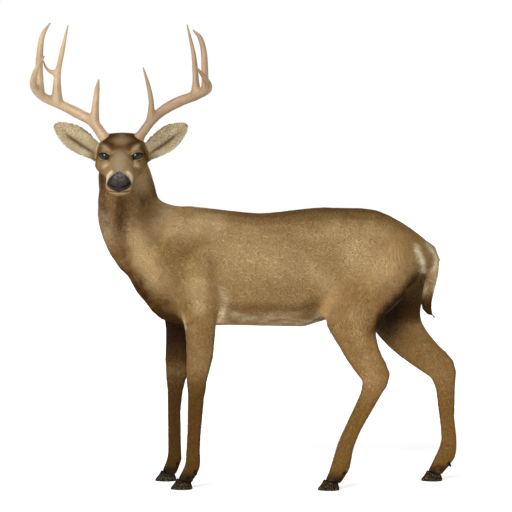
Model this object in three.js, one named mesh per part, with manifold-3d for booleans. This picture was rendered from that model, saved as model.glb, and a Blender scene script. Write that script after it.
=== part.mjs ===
// White-tailed deer buck, life size, standing square with its head turned to its left side.
// Millimetres, +Z up. The trunk lies along X with the chest towards -X, and the left side is -Y,
// so the turned face looks along -Y. The group's origin is on the floor under the middle of the box.
// Each part of the body is a loft of rings between a few stations. The flesh is joined into one
// body and parted with thin cuts, so that neighbours meet without overlap.
import * as THREE from "three";
import { mergeVertices } from "three/addons/utils/BufferGeometryUtils.js";
import Module from "manifold-3d";

const wasm = await Module();
wasm.setup();

// ---------- driving dimensions ----------
const GAP = 0.3; // width of a parting cut
const SLIVER = 0.2; // slivers left by the cuts are tidied away below this size
const FACET = 2.4; // facets of the joined flesh flatter than this are merged
const LEG_SIDES = 10;
const TRUNK_SIDES = 18;
const TRUNK_WIDEST = 0.46; // height of its widest part, from belly to back
const NECK_SIDES = 16;
const HEAD_SIDES = 16;
const TAIL_SIDES = 10;

// Trunk stations from the chest to the rump: the outline's top and bottom, and the half width.
const TRUNK = [
  { x: -468, top: 858, bottom: 792, side: 50 },
  { x: -446, top: 908, bottom: 724, side: 84 },
  { x: -402, top: 962, bottom: 656, side: 112 },
  { x: -340, top: 990, bottom: 588, side: 128 },
  { x: -270, top: 990, bottom: 569, side: 136 },
  { x: -190, top: 984, bottom: 562, side: 140 },
  { x: -90, top: 973, bottom: 563, side: 149 },
  { x: 10, top: 963, bottom: 562, side: 158 },
  { x: 100, top: 971, bottom: 561, side: 160 },
  { x: 165, top: 979, bottom: 558, side: 157 },
  { x: 228, top: 984, bottom: 576, side: 153 },
  { x: 320, top: 983, bottom: 604, side: 145 },
  { x: 419, top: 975, bottom: 640, side: 143 },
  { x: 507, top: 935, bottom: 684, side: 134 },
  { x: 572, top: 890, bottom: 738, side: 112 },
  { x: 612, top: 857, bottom: 762, side: 80 },
  { x: 638, top: 822, bottom: 774, side: 38 },
];

// Neck stations: the middle of each ring, its half depth from throat to nape, and its half width.
const NECK = [
  { x: -250, y: 0, z: 790, deep: 188, side: 124 },
  { x: -349, y: 0, z: 850, deep: 167, side: 122 },
  { x: -411, y: -2, z: 908, deep: 139, side: 109 },
  { x: -449, y: -12, z: 978, deep: 117, side: 99 },
  { x: -455, y: -34, z: 1050, deep: 104, side: 91 },
  { x: -462, y: -62, z: 1112, deep: 91, side: 84 },
  { x: -463, y: -98, z: 1156, deep: 76, side: 75 },
  { x: -462, y: -136, z: 1172, deep: 48, side: 50 },
];

// Head: the point midway between the eyes, the way the nose points, and stations along it.
const HEAD_AT = new THREE.Vector3(-460, -200, 1156);
const HEAD_FORWARD = new THREE.Vector3(0.011, -0.9, -0.43).normalize();
const HEAD = [
  { a: -122, top: 24, bottom: -46, side: 46, at: -10 },
  { a: -95, top: 49, bottom: -76, side: 71, at: -10 },
  { a: -60, top: 61, bottom: -90, side: 84, at: -14 },
  { a: -25, top: 60, bottom: -93, side: 88, at: -12 },
  { a: 4, top: 54, bottom: -88, side: 85, at: -8 },
  { a: 24, top: 46, bottom: -82, side: 75, at: -12 },
  { a: 42, top: 38, bottom: -78, side: 62, at: -17 },
  { a: 62, top: 32, bottom: -74, side: 54, at: -21 },
  { a: 94, top: 22, bottom: -71, side: 48, at: -24 },
  { a: 126, top: 12, bottom: -69, side: 46, at: -27 },
  { a: 152, top: 5, bottom: -69, side: 46, at: -29 },
  { a: 171, top: 0, bottom: -65, side: 42, at: -29 },
  { a: 184, top: -6, bottom: -54, side: 33, at: -28 },
  { a: 191, top: -14, bottom: -42, side: 18, at: -27 },
];
const EYE = { a: 23, s: 51, h: 12, radius: 22, sides: 10, bands: 6 };
const NOSE_PAD = { back: 156, under: -38, room: 120 }; // where the nose pad is parted off
// Pedicle: its middle, radius and height above that, and its root inward of and below it.
const PEDICLE = { a: -58, s: 54, h: 39, radius: 17, top: 8, inward: 0.6, below: 30, flare: 5 };

// Ear stations: how far along the ear, its half width, its cup's depth and its wall.
const EAR = [
  { t: -0.18, wide: 26, cup: 27, wall: 12 },
  { t: 0.0, wide: 31, cup: 29, wall: 11 },
  { t: 0.15, wide: 37, cup: 30, wall: 9 },
  { t: 0.35, wide: 45, cup: 28, wall: 8 },
  { t: 0.55, wide: 47, cup: 23, wall: 8 },
  { t: 0.75, wide: 37, cup: 18, wall: 7 },
  { t: 0.9, wide: 22, cup: 12, wall: 6.5 },
  { t: 1.0, wide: 7, cup: 7, wall: 5 },
];
const EARS = {
  right: { base: [-546, -144, 1169], tip: [-692, -176, 1267] },
  left: { base: [-376, -148, 1167], tip: [-234, -184, 1266] },
};
const EAR_CUT = 0.02; // the ear is parted from its root this far along
const EAR_OPEN = new THREE.Vector3(0, -1, 0.18); // the way both cups open
const EAR_HALF_SIDES = 6;
const EAR_RIM = Math.PI / 2; // the outside turns this far from the cup's middle line
const EAR_LINING = Math.PI / 3; // and the inside this far

// Antlers: the main beam from the burr to its tip, then the tines, each a path with its radii.
const BURR_RADIUS = 21;
const ANTLERS = {
  right: {
    beam: [[-540, -158, 1238], [-563, -150, 1277], [-607, -138, 1303], [-667, -134, 1333],
      [-731, -152, 1362], [-759, -194, 1395], [-745, -270, 1440], [-706, -350, 1490]],
    fork: 0.56,
    brow: [[-556, -152, 1276], [-550, -168, 1336], [-543, -186, 1388], [-536, -198, 1422]],
    second: [[-684, -139, 1348], [-684, -142, 1400], [-678, -146, 1451], [-660, -150, 1530],
      [-644, -150, 1610]],
    spur: [[-684, -146, 1440], [-708, -152, 1446], [-723, -158, 1460], [-730, -162, 1486]],
    third: [[-742, -170, 1384], [-743, -176, 1440], [-741, -176, 1503], [-731, -172, 1570],
      [-703, -168, 1617]],
    radii: { beam: [18, 18, 17.5, 16.5, 15.5, 12.5, 8.5, 2.5], brow: [17, 11.5, 8, 2],
      second: [25, 13.5, 9.5, 6, 2], spur: [9, 6, 4.5, 2], third: [23, 12, 10.5, 8, 2] },
  },
  left: {
    beam: [[-386, -166, 1237], [-358, -158, 1281], [-315, -146, 1319], [-264, -140, 1347],
      [-208, -150, 1367], [-164, -184, 1389], [-173, -240, 1420], [-202, -300, 1457]],
    fork: 0.6,
    brow: [[-361, -160, 1284], [-356, -178, 1346], [-366, -196, 1404], [-383, -208, 1462]],
    second: [[-206, -152, 1374], [-204, -156, 1420], [-209, -160, 1500], [-222, -160, 1560],
      [-236, -158, 1611]],
    spur: null,
    third: [[-174, -174, 1388], [-177, -180, 1440], [-181, -182, 1510], [-193, -178, 1562],
      [-218, -172, 1591]],
    radii: { beam: [15.5, 16, 17, 17.5, 17, 14.5, 9.5, 2.5], brow: [15, 8.5, 6.5, 2],
      second: [24, 10.5, 7, 5, 2], spur: null, third: [20, 11, 9.5, 8, 2] },
  },
};
const BURR = { flare: 2, rise: 5, top: 11 }; // how far it flares, and its middle and upper edge
const BEAM_STEPS = 17;
const BEAM_SIDES = 8;
const TINE_STEPS = 7;
const SPUR_STEPS = 5;
const TINE_SIDES = 6;

// Legs: the ring's middle, its reach to the front and back across the bone, and its half width.
const FORELEG = {
  left: [
    { x: -236, y: -84, z: 800, front: 78, back: 84, side: 50 },
    { x: -222, y: -88, z: 700, front: 74, back: 84, side: 54 },
    { x: -204, y: -90, z: 620, front: 62, back: 74, side: 49 },
    { x: -197, y: -92, z: 548, front: 51, back: 59, side: 41 },
    { x: -198, y: -94, z: 463, front: 46, back: 50, side: 33 },
    { x: -204, y: -96, z: 400, front: 41, back: 38, side: 29 },
    { x: -206, y: -97, z: 362, front: 36, back: 34, side: 29 },
    { x: -208, y: -98, z: 324, front: 30, back: 29, side: 24 },
    { x: -213, y: -99, z: 237, front: 26, back: 25, side: 20 },
    { x: -218, y: -100, z: 140, front: 26, back: 24, side: 20 },
    { x: -222, y: -100, z: 84, front: 26, back: 29, side: 24 },
    { x: -236, y: -100, z: 58, front: 23, back: 29, side: 24 },
    { x: -249, y: -100, z: 34, front: 23, back: 29, side: 26 },
    { x: -254, y: -100, z: 20, front: 23, back: 29, side: 26 },
  ],
  right: [
    { x: -286, y: 84, z: 800, front: 74, back: 84, side: 50 },
    { x: -292, y: 88, z: 700, front: 66, back: 84, side: 54 },
    { x: -288, y: 90, z: 620, front: 48, back: 72, side: 49 },
    { x: -284, y: 92, z: 548, front: 40, back: 48, side: 41 },
    { x: -283, y: 94, z: 463, front: 42, back: 43, side: 33 },
    { x: -284, y: 96, z: 400, front: 41, back: 39, side: 29 },
    { x: -286, y: 97, z: 362, front: 36, back: 33, side: 28 },
    { x: -288, y: 98, z: 324, front: 30, back: 27, side: 24 },
    { x: -291, y: 99, z: 253, front: 25, back: 22, side: 20 },
    { x: -291, y: 100, z: 140, front: 24, back: 23, side: 20 },
    { x: -293, y: 100, z: 84, front: 25, back: 28, side: 24 },
    { x: -303, y: 100, z: 58, front: 23, back: 29, side: 24 },
    { x: -313, y: 100, z: 34, front: 23, back: 29, side: 26 },
    { x: -318, y: 100, z: 20, front: 23, back: 29, side: 26 },
  ],
};
const HINDLEG = {
  left: [
    { x: 440, y: -70, z: 820, front: 116, back: 112, side: 62 },
    { x: 412, y: -82, z: 720, front: 148, back: 120, side: 72 },
    { x: 366, y: -91, z: 632, front: 146, back: 80, side: 68 },
    { x: 346, y: -98, z: 560, front: 104, back: 74, side: 56 },
    { x: 354, y: -102, z: 500, front: 62, back: 73, side: 44 },
    { x: 386, y: -104, z: 441, front: 53, back: 60, side: 34 },
    { x: 413, y: -106, z: 392, front: 48, back: 56, side: 29 },
    { x: 406, y: -108, z: 346, front: 41, back: 35, side: 29 },
    { x: 382, y: -111, z: 300, front: 33, back: 31, side: 24 },
    { x: 341, y: -114, z: 222, front: 30, back: 29, side: 21 },
    { x: 310, y: -118, z: 150, front: 30, back: 31, side: 21 },
    { x: 294, y: -120, z: 88, front: 31, back: 36, side: 25 },
    { x: 279, y: -120, z: 58, front: 26, back: 33, side: 25 },
    { x: 264, y: -120, z: 34, front: 23, back: 30, side: 26 },
    { x: 258, y: -120, z: 20, front: 23, back: 29, side: 26 },
  ],
  right: [
    { x: 490, y: 66, z: 820, front: 120, back: 126, side: 64 },
    { x: 500, y: 79, z: 720, front: 140, back: 118, side: 70 },
    { x: 506, y: 88, z: 632, front: 128, back: 92, side: 66 },
    { x: 530, y: 94, z: 560, front: 102, back: 66, side: 54 },
    { x: 568, y: 97, z: 500, front: 78, back: 60, side: 44 },
    { x: 616, y: 98, z: 446, front: 60, back: 57, side: 34 },
    { x: 660, y: 99, z: 402, front: 50, back: 57, side: 29 },
    { x: 676, y: 100, z: 352, front: 39, back: 41, side: 29 },
    { x: 679, y: 100, z: 300, front: 31, back: 32, side: 24 },
    { x: 684, y: 100, z: 226, front: 27, back: 28, side: 20 },
    { x: 690, y: 100, z: 150, front: 27, back: 31, side: 20 },
    { x: 682, y: 100, z: 96, front: 33, back: 35, side: 25 },
    { x: 660, y: 100, z: 62, front: 29, back: 31, side: 25 },
    { x: 642, y: 100, z: 34, front: 25, back: 28, side: 26 },
    { x: 636, y: 100, z: 20, front: 25, back: 28, side: 26 },
  ],
};

// Hooves: two claws a foot. The coronet plane slopes down from the toe to the heel.
const CLAW = { long: 76, wide: 27, inner: 2.5, taper: 0.42, apart: 2, ahead: 4,
  toeHeight: 38, heelHeight: 24 };
// A claw's outline from the sole up: its reach to the toe and heel, and its width.
const CLAW_LEVELS = [
  { z: 0, toe: 0.54, heel: 0.48, fat: 1 },
  { z: 5, toe: 0.53, heel: 0.49, fat: 1.03 },
  { z: 24, toe: 0.4, heel: 0.46, fat: 0.98 },
  { z: 50, toe: 0.26, heel: 0.4, fat: 0.92 },
];
const CLAW_SIDES = 10;
const CORONET_SHARE = 0.8; // length of the coronet against the claw
// Dewclaw: root and tip behind the fetlock's middle, apart from the foot's, and their heights.
const DEWCLAW = { rootBack: 5, tipBack: 20, rootApart: 10.5, tipApart: 14, rootUp: 68, tipUp: 48,
  bow: 5, radius: 8.5, tip: 3, steps: 3, sides: 6 };

// Tail: hangs against the rump, thicker in its upper half, with the tip flicked back.
const TAIL = [
  { x: 596, z: 852, deep: 22, side: 28 },
  { x: 616, z: 812, deep: 27, side: 36 },
  { x: 620, z: 760, deep: 27, side: 41 },
  { x: 612, z: 706, deep: 22, side: 42 },
  { x: 602, z: 656, deep: 20, side: 36 },
  { x: 605, z: 630, deep: 17, side: 29 },
  { x: 613, z: 611, deep: 12, side: 19 },
  { x: 636, z: 588, deep: 4, side: 6 },
];

// Parting planes of the flesh: a point on the cut and its normal.
const NECK_CUT = { at: [-330, 0, 990], normal: [-0.861, 0, 0.507] };
const BEHIND_JAW = { a: -74, h: -40, forward: 0.866, up: 0.5 };
const FORELEG_CUT = { at: [-200, 0, 552], normal: [0, 0, -1] };
const HINDLEG_CUT = { at: [225, 0, 577], normal: [0.283, 0, -0.959] };
const MIDBODY = 50;
const LEG_CUTS = {
  foreleg: [{ name: "forearm", to: 372 }, { name: "cannon", to: 98 }],
  hindleg: [{ name: "thigh", to: 520 }, { name: "gaskin", to: 372 }, { name: "cannon", to: 104 }],
};

// ---------- finishes ----------
const finish = (color, roughness) =>
  new THREE.MeshStandardMaterial({ color, roughness, metalness: 0 });
const COAT = () => finish(0xa58a62, 0.9);
const DARK_COAT = () => finish(0x73552f, 0.9);
const EAR_COAT = () => finish(0xb5a37e, 0.9);
const LEG_COAT = () => finish(0x7a5c2c, 0.9);
const TAIL_COAT = () => finish(0x9a7c4e, 0.9);
const NOSE = () => finish(0x2c2a2b, 0.45);
const EYE_GLOSS = () => finish(0x17120e, 0.08);
const ANTLER_BONE = () => finish(0xcdb08a, 0.55);
const HORN = () => finish(0x211c16, 0.5);

// ---------- curves and lofts ----------
const vec = (p) => new THREE.Vector3(...p);

function blend(a, b, c, d, t) {
  const bend = (-a + 3 * b - 3 * c + d) * t * t * t;
  return 0.5 * (2 * b + (c - a) * t + (2 * a - 5 * b + 4 * c - d) * t * t + bend);
}

// Extra stations on a smooth curve through the given ones.
function smooth(stations, perSpan) {
  const out = [];
  const last = stations.length - 1;
  for (let i = 0; i < last; i++) {
    const near = [i - 1, i, i + 1, i + 2].map((k) => stations[Math.min(last, Math.max(0, k))]);
    for (let k = 0; k < perSpan; k++) {
      const station = {};
      for (const key of Object.keys(stations[0])) {
        station[key] = blend(...near.map((s) => s[key]), k / perSpan);
      }
      out.push(station);
    }
  }
  out.push({ ...stations[last] });
  return out;
}

// A ring round a middle: reach along plus and minus of one axis, half width along the other.
function ring(middle, axis, across, sides, plus, minus, half, power = 2.2) {
  const points = [];
  for (let k = 0; k < sides; k++) {
    const angle = (2 * Math.PI * k) / sides;
    const c = Math.sign(Math.cos(angle)) * Math.abs(Math.cos(angle)) ** (2 / power);
    const s = Math.sign(Math.sin(angle)) * Math.abs(Math.sin(angle)) ** (2 / power);
    points.push(middle.clone()
      .addScaledVector(axis, c * (c > 0 ? plus : minus))
      .addScaledVector(across, s * half));
  }
  return points;
}

function signedVolume(positions, indices) {
  const [a, b, c] = [new THREE.Vector3(), new THREE.Vector3(), new THREE.Vector3()];
  let sum = 0;
  for (let i = 0; i < indices.length; i += 3) {
    a.fromArray(positions, 3 * indices[i]);
    b.fromArray(positions, 3 * indices[i + 1]);
    c.fromArray(positions, 3 * indices[i + 2]);
    sum += a.dot(b.cross(c));
  }
  return sum;
}

function solidFrom(positions, indices) {
  const verts = new Float32Array(positions);
  const tris = new Uint32Array(indices);
  return new wasm.Manifold(new wasm.Mesh({ numProp: 3, vertProperties: verts, triVerts: tris }));
}

// Closed solid through a row of rings, each with the same number of points.
function loft(rings) {
  const sides = rings[0].length;
  const positions = rings.flat().flatMap((p) => p.toArray());
  const indices = [];
  for (let i = 0; i + 1 < rings.length; i++) {
    for (let k = 0; k < sides; k++) {
      const [a, b] = [i * sides + k, i * sides + ((k + 1) % sides)];
      indices.push(a, b, b + sides, a, b + sides, a + sides);
    }
  }
  const cap = (row, start, turned) => {
    const middle = row.reduce((sum, p) => sum.add(p), new THREE.Vector3());
    positions.push(...middle.divideScalar(sides).toArray());
    const hub = positions.length / 3 - 1;
    for (let k = 0; k < sides; k++) {
      const [a, b] = [start + k, start + ((k + 1) % sides)];
      indices.push(hub, ...(turned ? [b, a] : [a, b]));
    }
  };
  cap(rings[0], 0, true);
  cap(rings.at(-1), (rings.length - 1) * sides, false);
  if (signedVolume(positions, indices) < 0) {
    for (let i = 0; i < indices.length; i += 3) {
      [indices[i], indices[i + 1]] = [indices[i + 1], indices[i]];
    }
  }
  return solidFrom(positions, indices);
}

// Round tapering tube along a smooth path, with a radius for each of the path's points.
function horn(path, radii, steps, sides, grow = 0) {
  const curve = new THREE.CatmullRomCurve3(path.map(vec), false, "centripetal");
  const frames = curve.computeFrenetFrames(steps, false);
  const rings = [];
  for (let i = 0; i <= steps; i++) {
    const t = i / steps;
    const span = Math.min(radii.length - 2, Math.floor(t * (radii.length - 1)));
    const mix = t * (radii.length - 1) - span;
    const radius = radii[span] * (1 - mix) + radii[span + 1] * mix + grow;
    const middle = curve.getPoint(t);
    rings.push(ring(middle, frames.normals[i], frames.binormals[i], sides,
      radius, radius, radius, 2));
  }
  return loft(rings);
}

// ---------- cuts ----------
// Keeps the side of a plane that its normal points to, half a cut away from the plane.
function keep(solid, at, normal) {
  const n = vec(normal).normalize();
  return solid.trimByPlane(n.toArray(), n.dot(vec(at)) + GAP / 2);
}

const drop = (solid, at, normal) => keep(solid, at, normal.map((v) => -v));

function largest(solid) {
  return solid.decompose().reduce((best, one) => (one.volume() > best.volume() ? one : best));
}

// Cuts one solid by another and keeps the largest body that is left.
const trim = (solid, cutter) => largest(solid.subtract(cutter));

// The same cut with a small gap: the cutter is moved a little each way.
function clearOf(solid, cutter) {
  let rest = solid;
  for (const [x, y, z] of [[1, 0, 0], [-1, 0, 0], [0, 1, 0], [0, -1, 0], [0, 0, 1], [0, 0, -1]]) {
    rest = trim(rest, cutter.translate([GAP * x, GAP * y, GAP * z]));
  }
  return rest;
}

function fromGeometry(geometry) {
  const bare = geometry.clone();
  bare.deleteAttribute("normal");
  bare.deleteAttribute("uv");
  const merged = mergeVertices(bare, 1e-4);
  return solidFrom(Array.from(merged.attributes.position.array), Array.from(merged.index.array));
}

// ---------- the head's own frame ----------
const HEAD_LEFT = new THREE.Vector3(1, 0, 0)
  .addScaledVector(HEAD_FORWARD, -HEAD_FORWARD.x).normalize();
const HEAD_UP = new THREE.Vector3().crossVectors(HEAD_FORWARD, HEAD_LEFT);

// A point of the head: a towards the nose, s to the deer's left, h up from between the eyes.
function onHead(a, s, h) {
  return HEAD_AT.clone()
    .addScaledVector(HEAD_FORWARD, a)
    .addScaledVector(HEAD_LEFT, s)
    .addScaledVector(HEAD_UP, h);
}

// ---------- flesh ----------
function trunk() {
  const up = new THREE.Vector3(0, 0, 1);
  const across = new THREE.Vector3(0, 1, 0);
  return loft(smooth(TRUNK, 2).map((s) => {
    const level = s.bottom + TRUNK_WIDEST * (s.top - s.bottom);
    return ring(new THREE.Vector3(s.x, 0, level), up, across, TRUNK_SIDES,
      s.top - level, level - s.bottom, s.side);
  }));
}

// Rings square to the path through the stations' middles. The axis points to the front.
function limb(stations, perSpan, sides, power) {
  const fine = smooth(stations, perSpan);
  const middles = fine.map((s) => new THREE.Vector3(s.x, s.y ?? 0, s.z));
  const across = new THREE.Vector3(0, 1, 0);
  return loft(fine.map((s, i) => {
    const before = middles[Math.max(0, i - 1)];
    const after = middles[Math.min(fine.length - 1, i + 1)];
    const along = after.clone().sub(before).normalize();
    const axis = new THREE.Vector3().crossVectors(across, along).normalize();
    if (axis.x > 0) axis.negate();
    const side = new THREE.Vector3().crossVectors(axis, along).normalize();
    return ring(middles[i], axis, side, sides, s.front, s.back, s.side, power);
  }));
}

const evenly = (s) => ({ ...s, front: s.deep, back: s.deep });

const neck = () => limb(NECK.map(evenly), 2, NECK_SIDES, 2.1);

const leg = (stations) => limb(stations, 2, LEG_SIDES, 2.2);

const tail = () => limb(TAIL.map(evenly), 2, TAIL_SIDES, 2.1);

function headBlock() {
  return loft(smooth(HEAD, 2).map((s) => ring(onHead(s.a, 0, s.at), HEAD_UP, HEAD_LEFT,
    HEAD_SIDES, s.top - s.at, s.at - s.bottom, s.side, 2.3)));
}

// Short skin-covered stub that carries an antler.
function pedicle(sideSign) {
  const root = onHead(PEDICLE.a, sideSign * PEDICLE.s * PEDICLE.inward, PEDICLE.h - PEDICLE.below);
  const stub = onHead(PEDICLE.a, sideSign * PEDICLE.s, PEDICLE.h);
  const lean = stub.clone().sub(root).normalize();
  const end = stub.clone().addScaledVector(lean, PEDICLE.top);
  const wide = PEDICLE.radius;
  const radii = [wide + PEDICLE.flare, wide + PEDICLE.flare / 2, wide];
  return { end, lean, solid: horn([root, stub, end].map((p) => p.toArray()), radii, 3, LEG_SIDES) };
}

// A leaf-shaped cup, open towards the face's front.
function ear(place) {
  const base = vec(place.base);
  const axis = vec(place.tip).sub(base);
  const along = axis.clone().normalize();
  const open = EAR_OPEN.clone().addScaledVector(along, -EAR_OPEN.dot(along)).normalize();
  const wide = new THREE.Vector3().crossVectors(along, open).normalize();
  return loft(smooth(EAR, 2).map((s) => {
    const middle = base.clone().addScaledVector(axis, s.t);
    const point = (angle, wall) => middle.clone()
      .addScaledVector(wide, s.wide * Math.sin(angle))
      .addScaledVector(open, s.cup / 2 + wall - s.cup * Math.cos(angle));
    const outer = [];
    const inner = [];
    for (let k = 0; k < EAR_HALF_SIDES; k++) {
      const turn = (2 * k) / (EAR_HALF_SIDES - 1) - 1;
      outer.push(point(turn * EAR_RIM, 0));
      inner.unshift(point(turn * EAR_LINING, s.wall));
    }
    return [...outer, ...inner];
  }));
}

// ---------- horn: claws and dewclaws ----------
// One claw: pointed at the toe, round outside, nearly flat towards its partner.
function claw(foot, sideSign) {
  const { inner } = CLAW;
  return loft(CLAW_LEVELS.map((level) => {
    const points = [];
    for (let k = 0; k < CLAW_SIDES; k++) {
      const angle = (2 * Math.PI * k) / CLAW_SIDES;
      const c = Math.cos(angle);
      const s = Math.sin(angle);
      const reach = CLAW.long * (c > 0 ? level.toe : level.heel);
      const taper = 1 - CLAW.taper * Math.max(0, c) ** 2;
      const width = s > 0 ? (CLAW.wide - inner) * level.fat * taper : inner;
      points.push(new THREE.Vector3(foot.x - c * reach,
        foot.y + sideSign * (CLAW.apart / 2 + inner + s * width), level.z));
    }
    return points;
  }));
}

function coronet(foot) {
  const tilt = Math.atan2(CLAW.toeHeight - CLAW.heelHeight, CLAW.long * CORONET_SHARE);
  const at = [foot.x, 0, (CLAW.toeHeight + CLAW.heelHeight) / 2];
  return { at, normal: [Math.sin(tilt), 0, Math.cos(tilt)] };
}

function dewclaw(foot, fetlock, sideSign, grow) {
  const root = [fetlock.x + DEWCLAW.rootBack, foot.y + sideSign * DEWCLAW.rootApart,
    DEWCLAW.rootUp];
  const end = [fetlock.x + DEWCLAW.tipBack, foot.y + sideSign * DEWCLAW.tipApart, DEWCLAW.tipUp];
  const middle = root.map((v, i) => (v + end[i]) / 2 + (i === 0 ? DEWCLAW.bow : 0));
  return horn([root, middle, end], [DEWCLAW.radius, DEWCLAW.radius, DEWCLAW.tip],
    DEWCLAW.steps, DEWCLAW.sides, grow);
}

// ---------- assembly ----------
const deer = new THREE.Group();

function addPiece(name, solid, material) {
  const mesh = largest(solid.simplify(SLIVER)).getMesh();
  const geometry = new THREE.BufferGeometry();
  geometry.setAttribute("position", new THREE.BufferAttribute(mesh.vertProperties, 3));
  geometry.setIndex(new THREE.BufferAttribute(mesh.triVerts, 1));
  const piece = new THREE.Mesh(geometry, material);
  piece.name = name;
  deer.add(piece);
}

const LEGS = [];
for (const side of ["left", "right"]) {
  LEGS.push({ kind: "foreleg", side, stations: FORELEG[side] });
  LEGS.push({ kind: "hindleg", side, stations: HINDLEG[side] });
}

// Trunk, neck and legs as one body.
let body = trunk().add(neck());
for (const one of LEGS) body = body.add(leg(one.stations));

// Head with its pedicles and the roots of the ears, joined to the neck.
const pedicles = { right: pedicle(-1), left: pedicle(1) };
const ears = { right: ear(EARS.right), left: ear(EARS.left) };
let front = headBlock();
for (const side of ["left", "right"]) {
  const { end, lean, solid } = pedicles[side];
  front = front.add(keep(solid, end.toArray(), lean.clone().negate().toArray()));
  const place = EARS[side];
  const along = vec(place.tip).sub(vec(place.base));
  const at = vec(place.base).addScaledVector(along, EAR_CUT).toArray();
  front = front.add(drop(ears[side], at, along.toArray()));
}
body = body.add(front).simplify(FACET);

function addEar(side) {
  const place = EARS[side];
  const along = vec(place.tip).sub(vec(place.base));
  const at = vec(place.base).addScaledVector(along, EAR_CUT).toArray();
  const leaf = keep(ears[side], at, along.toArray());
  addPiece(`ear_${side}`, clearOf(leaf, body), EAR_COAT());
}

function addTrunkAndNeck() {
  const behind = onHead(BEHIND_JAW.a, 0, BEHIND_JAW.h).toArray();
  const headward = HEAD_FORWARD.clone().multiplyScalar(BEHIND_JAW.forward)
    .addScaledVector(HEAD_UP, BEHIND_JAW.up).toArray();
  const chest = drop(body, NECK_CUT.at, NECK_CUT.normal);
  const ribs = drop(drop(chest, FORELEG_CUT.at, FORELEG_CUT.normal),
    HINDLEG_CUT.at, HINDLEG_CUT.normal);
  addPiece("trunk", ribs, COAT());
  const raised = keep(body, NECK_CUT.at, NECK_CUT.normal);
  addPiece("neck", drop(raised, behind, headward), DARK_COAT());
  return keep(raised, behind, headward);
}

function addHead(block) {
  let head = block;
  for (const [side, sign] of [["left", 1], ["right", -1]]) {
    const middle = onHead(EYE.a, sign * EYE.s, EYE.h);
    const ball = (radius) => fromGeometry(new THREE.SphereGeometry(radius, EYE.sides, EYE.bands))
      .translate(middle.toArray());
    head = head.subtract(ball(EYE.radius + GAP));
    addPiece(`eye_${side}`, ball(EYE.radius), EYE_GLOSS());
  }
  const frontOfNose = onHead(NOSE_PAD.back, 0, 0).toArray();
  const forward = HEAD_FORWARD.toArray();
  const snout = keep(head, frontOfNose, forward);
  const lipLine = onHead(0, 0, NOSE_PAD.under).toArray();
  const pad = keep(snout, lipLine, HEAD_UP.toArray());
  addPiece("nose_pad", pad, NOSE());
  const size = NOSE_PAD.room;
  const room = new THREE.BoxGeometry(size, size, size);
  room.translate(size / 2, 0, size / 2);
  const frame = new THREE.Matrix4().makeBasis(HEAD_FORWARD, HEAD_LEFT, HEAD_UP);
  frame.setPosition(onHead(NOSE_PAD.back - GAP / 2, 0, NOSE_PAD.under - GAP / 2));
  room.applyMatrix4(frame);
  addPiece("head", head.subtract(fromGeometry(room)), DARK_COAT());
}

function addTail() {
  addPiece("tail", clearOf(tail(), body), TAIL_COAT());
}

function addLeg(one) {
  const cut = one.kind === "foreleg" ? FORELEG_CUT : HINDLEG_CUT;
  const sign = one.side === "left" ? -1 : 1;
  const toLegs = one.kind === "foreleg" ? -1 : 1;
  let rest = keep(body, cut.at, cut.normal);
  rest = keep(rest, [0, 0, 0], [0, sign, 0]);
  rest = keep(rest, [MIDBODY, 0, 0], [toLegs, 0, 0]);
  const last = one.stations.at(-1);
  const foot = { x: last.x - CLAW.ahead, y: last.y };
  const { at, normal } = coronet(foot);
  const fetlock = one.stations.at(-4);
  rest = keep(rest, at, normal);
  for (const [place, claws] of [["inner", -sign], ["outer", sign]]) {
    const hoof = drop(claw(foot, claws), at, normal);
    addPiece(`${one.kind}_${one.side}_hoof_${place}`, hoof, HORN());
    rest = rest.subtract(dewclaw(foot, fetlock, claws, GAP));
    addPiece(`${one.kind}_${one.side}_dewclaw_${place}`, dewclaw(foot, fetlock, claws, 0), HORN());
  }
  for (const { name, to } of LEG_CUTS[one.kind]) {
    const joint = legMiddle(one.stations, to);
    addPiece(`${one.kind}_${one.side}_${name}`, keep(rest, joint.at, joint.along), LEG_COAT());
    rest = drop(rest, joint.at, joint.along);
  }
  addPiece(`${one.kind}_${one.side}_pastern`, rest, LEG_COAT());
}

// Where the leg's middle line passes a height, and its direction up the leg there.
function legMiddle(stations, height) {
  const fine = smooth(stations, 4);
  const i = fine.findIndex((s) => s.z < height);
  const [upper, lower] = [fine[i - 1], fine[i]];
  const along = [upper.x - lower.x, upper.y - lower.y, upper.z - lower.z];
  return { at: [lower.x, lower.y, lower.z], along };
}

function addAntler(side) {
  const spec = ANTLERS[side];
  const seat = pedicles[side];
  const root = seat.end.clone().addScaledVector(seat.lean, GAP / 2);
  const path = [root.toArray(), ...spec.beam];
  const radii = [spec.radii.beam[0], ...spec.radii.beam];
  const beam = (grow) => {
    const shaft = horn(path, radii, BEAM_STEPS, BEAM_SIDES, grow);
    const collar = [0, BURR.rise, BURR.top].map((up) =>
      root.clone().addScaledVector(seat.lean, up).toArray());
    const edge = radii[0] + BURR.flare;
    return shaft.add(horn(collar, [edge - 1, edge, radii[0]], 2, BEAM_SIDES, grow));
  };
  const whole = keep(beam(0), root.toArray(), seat.lean.toArray());
  const curve = new THREE.CatmullRomCurve3(path.map(vec), false, "centripetal");
  const at = curve.getPoint(spec.fork).toArray();
  const along = curve.getTangent(spec.fork).toArray();
  addPiece(`antler_${side}_beam_lower`, drop(whole, at, along), ANTLER_BONE());
  addPiece(`antler_${side}_beam_upper`, keep(whole, at, along), ANTLER_BONE());
  const grown = beam(GAP);
  for (const name of ["brow", "second", "third"]) {
    let tine = horn(spec[name], spec.radii[name], TINE_STEPS, TINE_SIDES);
    if (name === "second" && spec.spur) {
      tine = tine.add(horn(spec.spur, spec.radii.spur, SPUR_STEPS, TINE_SIDES));
    }
    addPiece(`antler_${side}_${name}_tine`, trim(tine, grown), ANTLER_BONE());
  }
}

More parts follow.
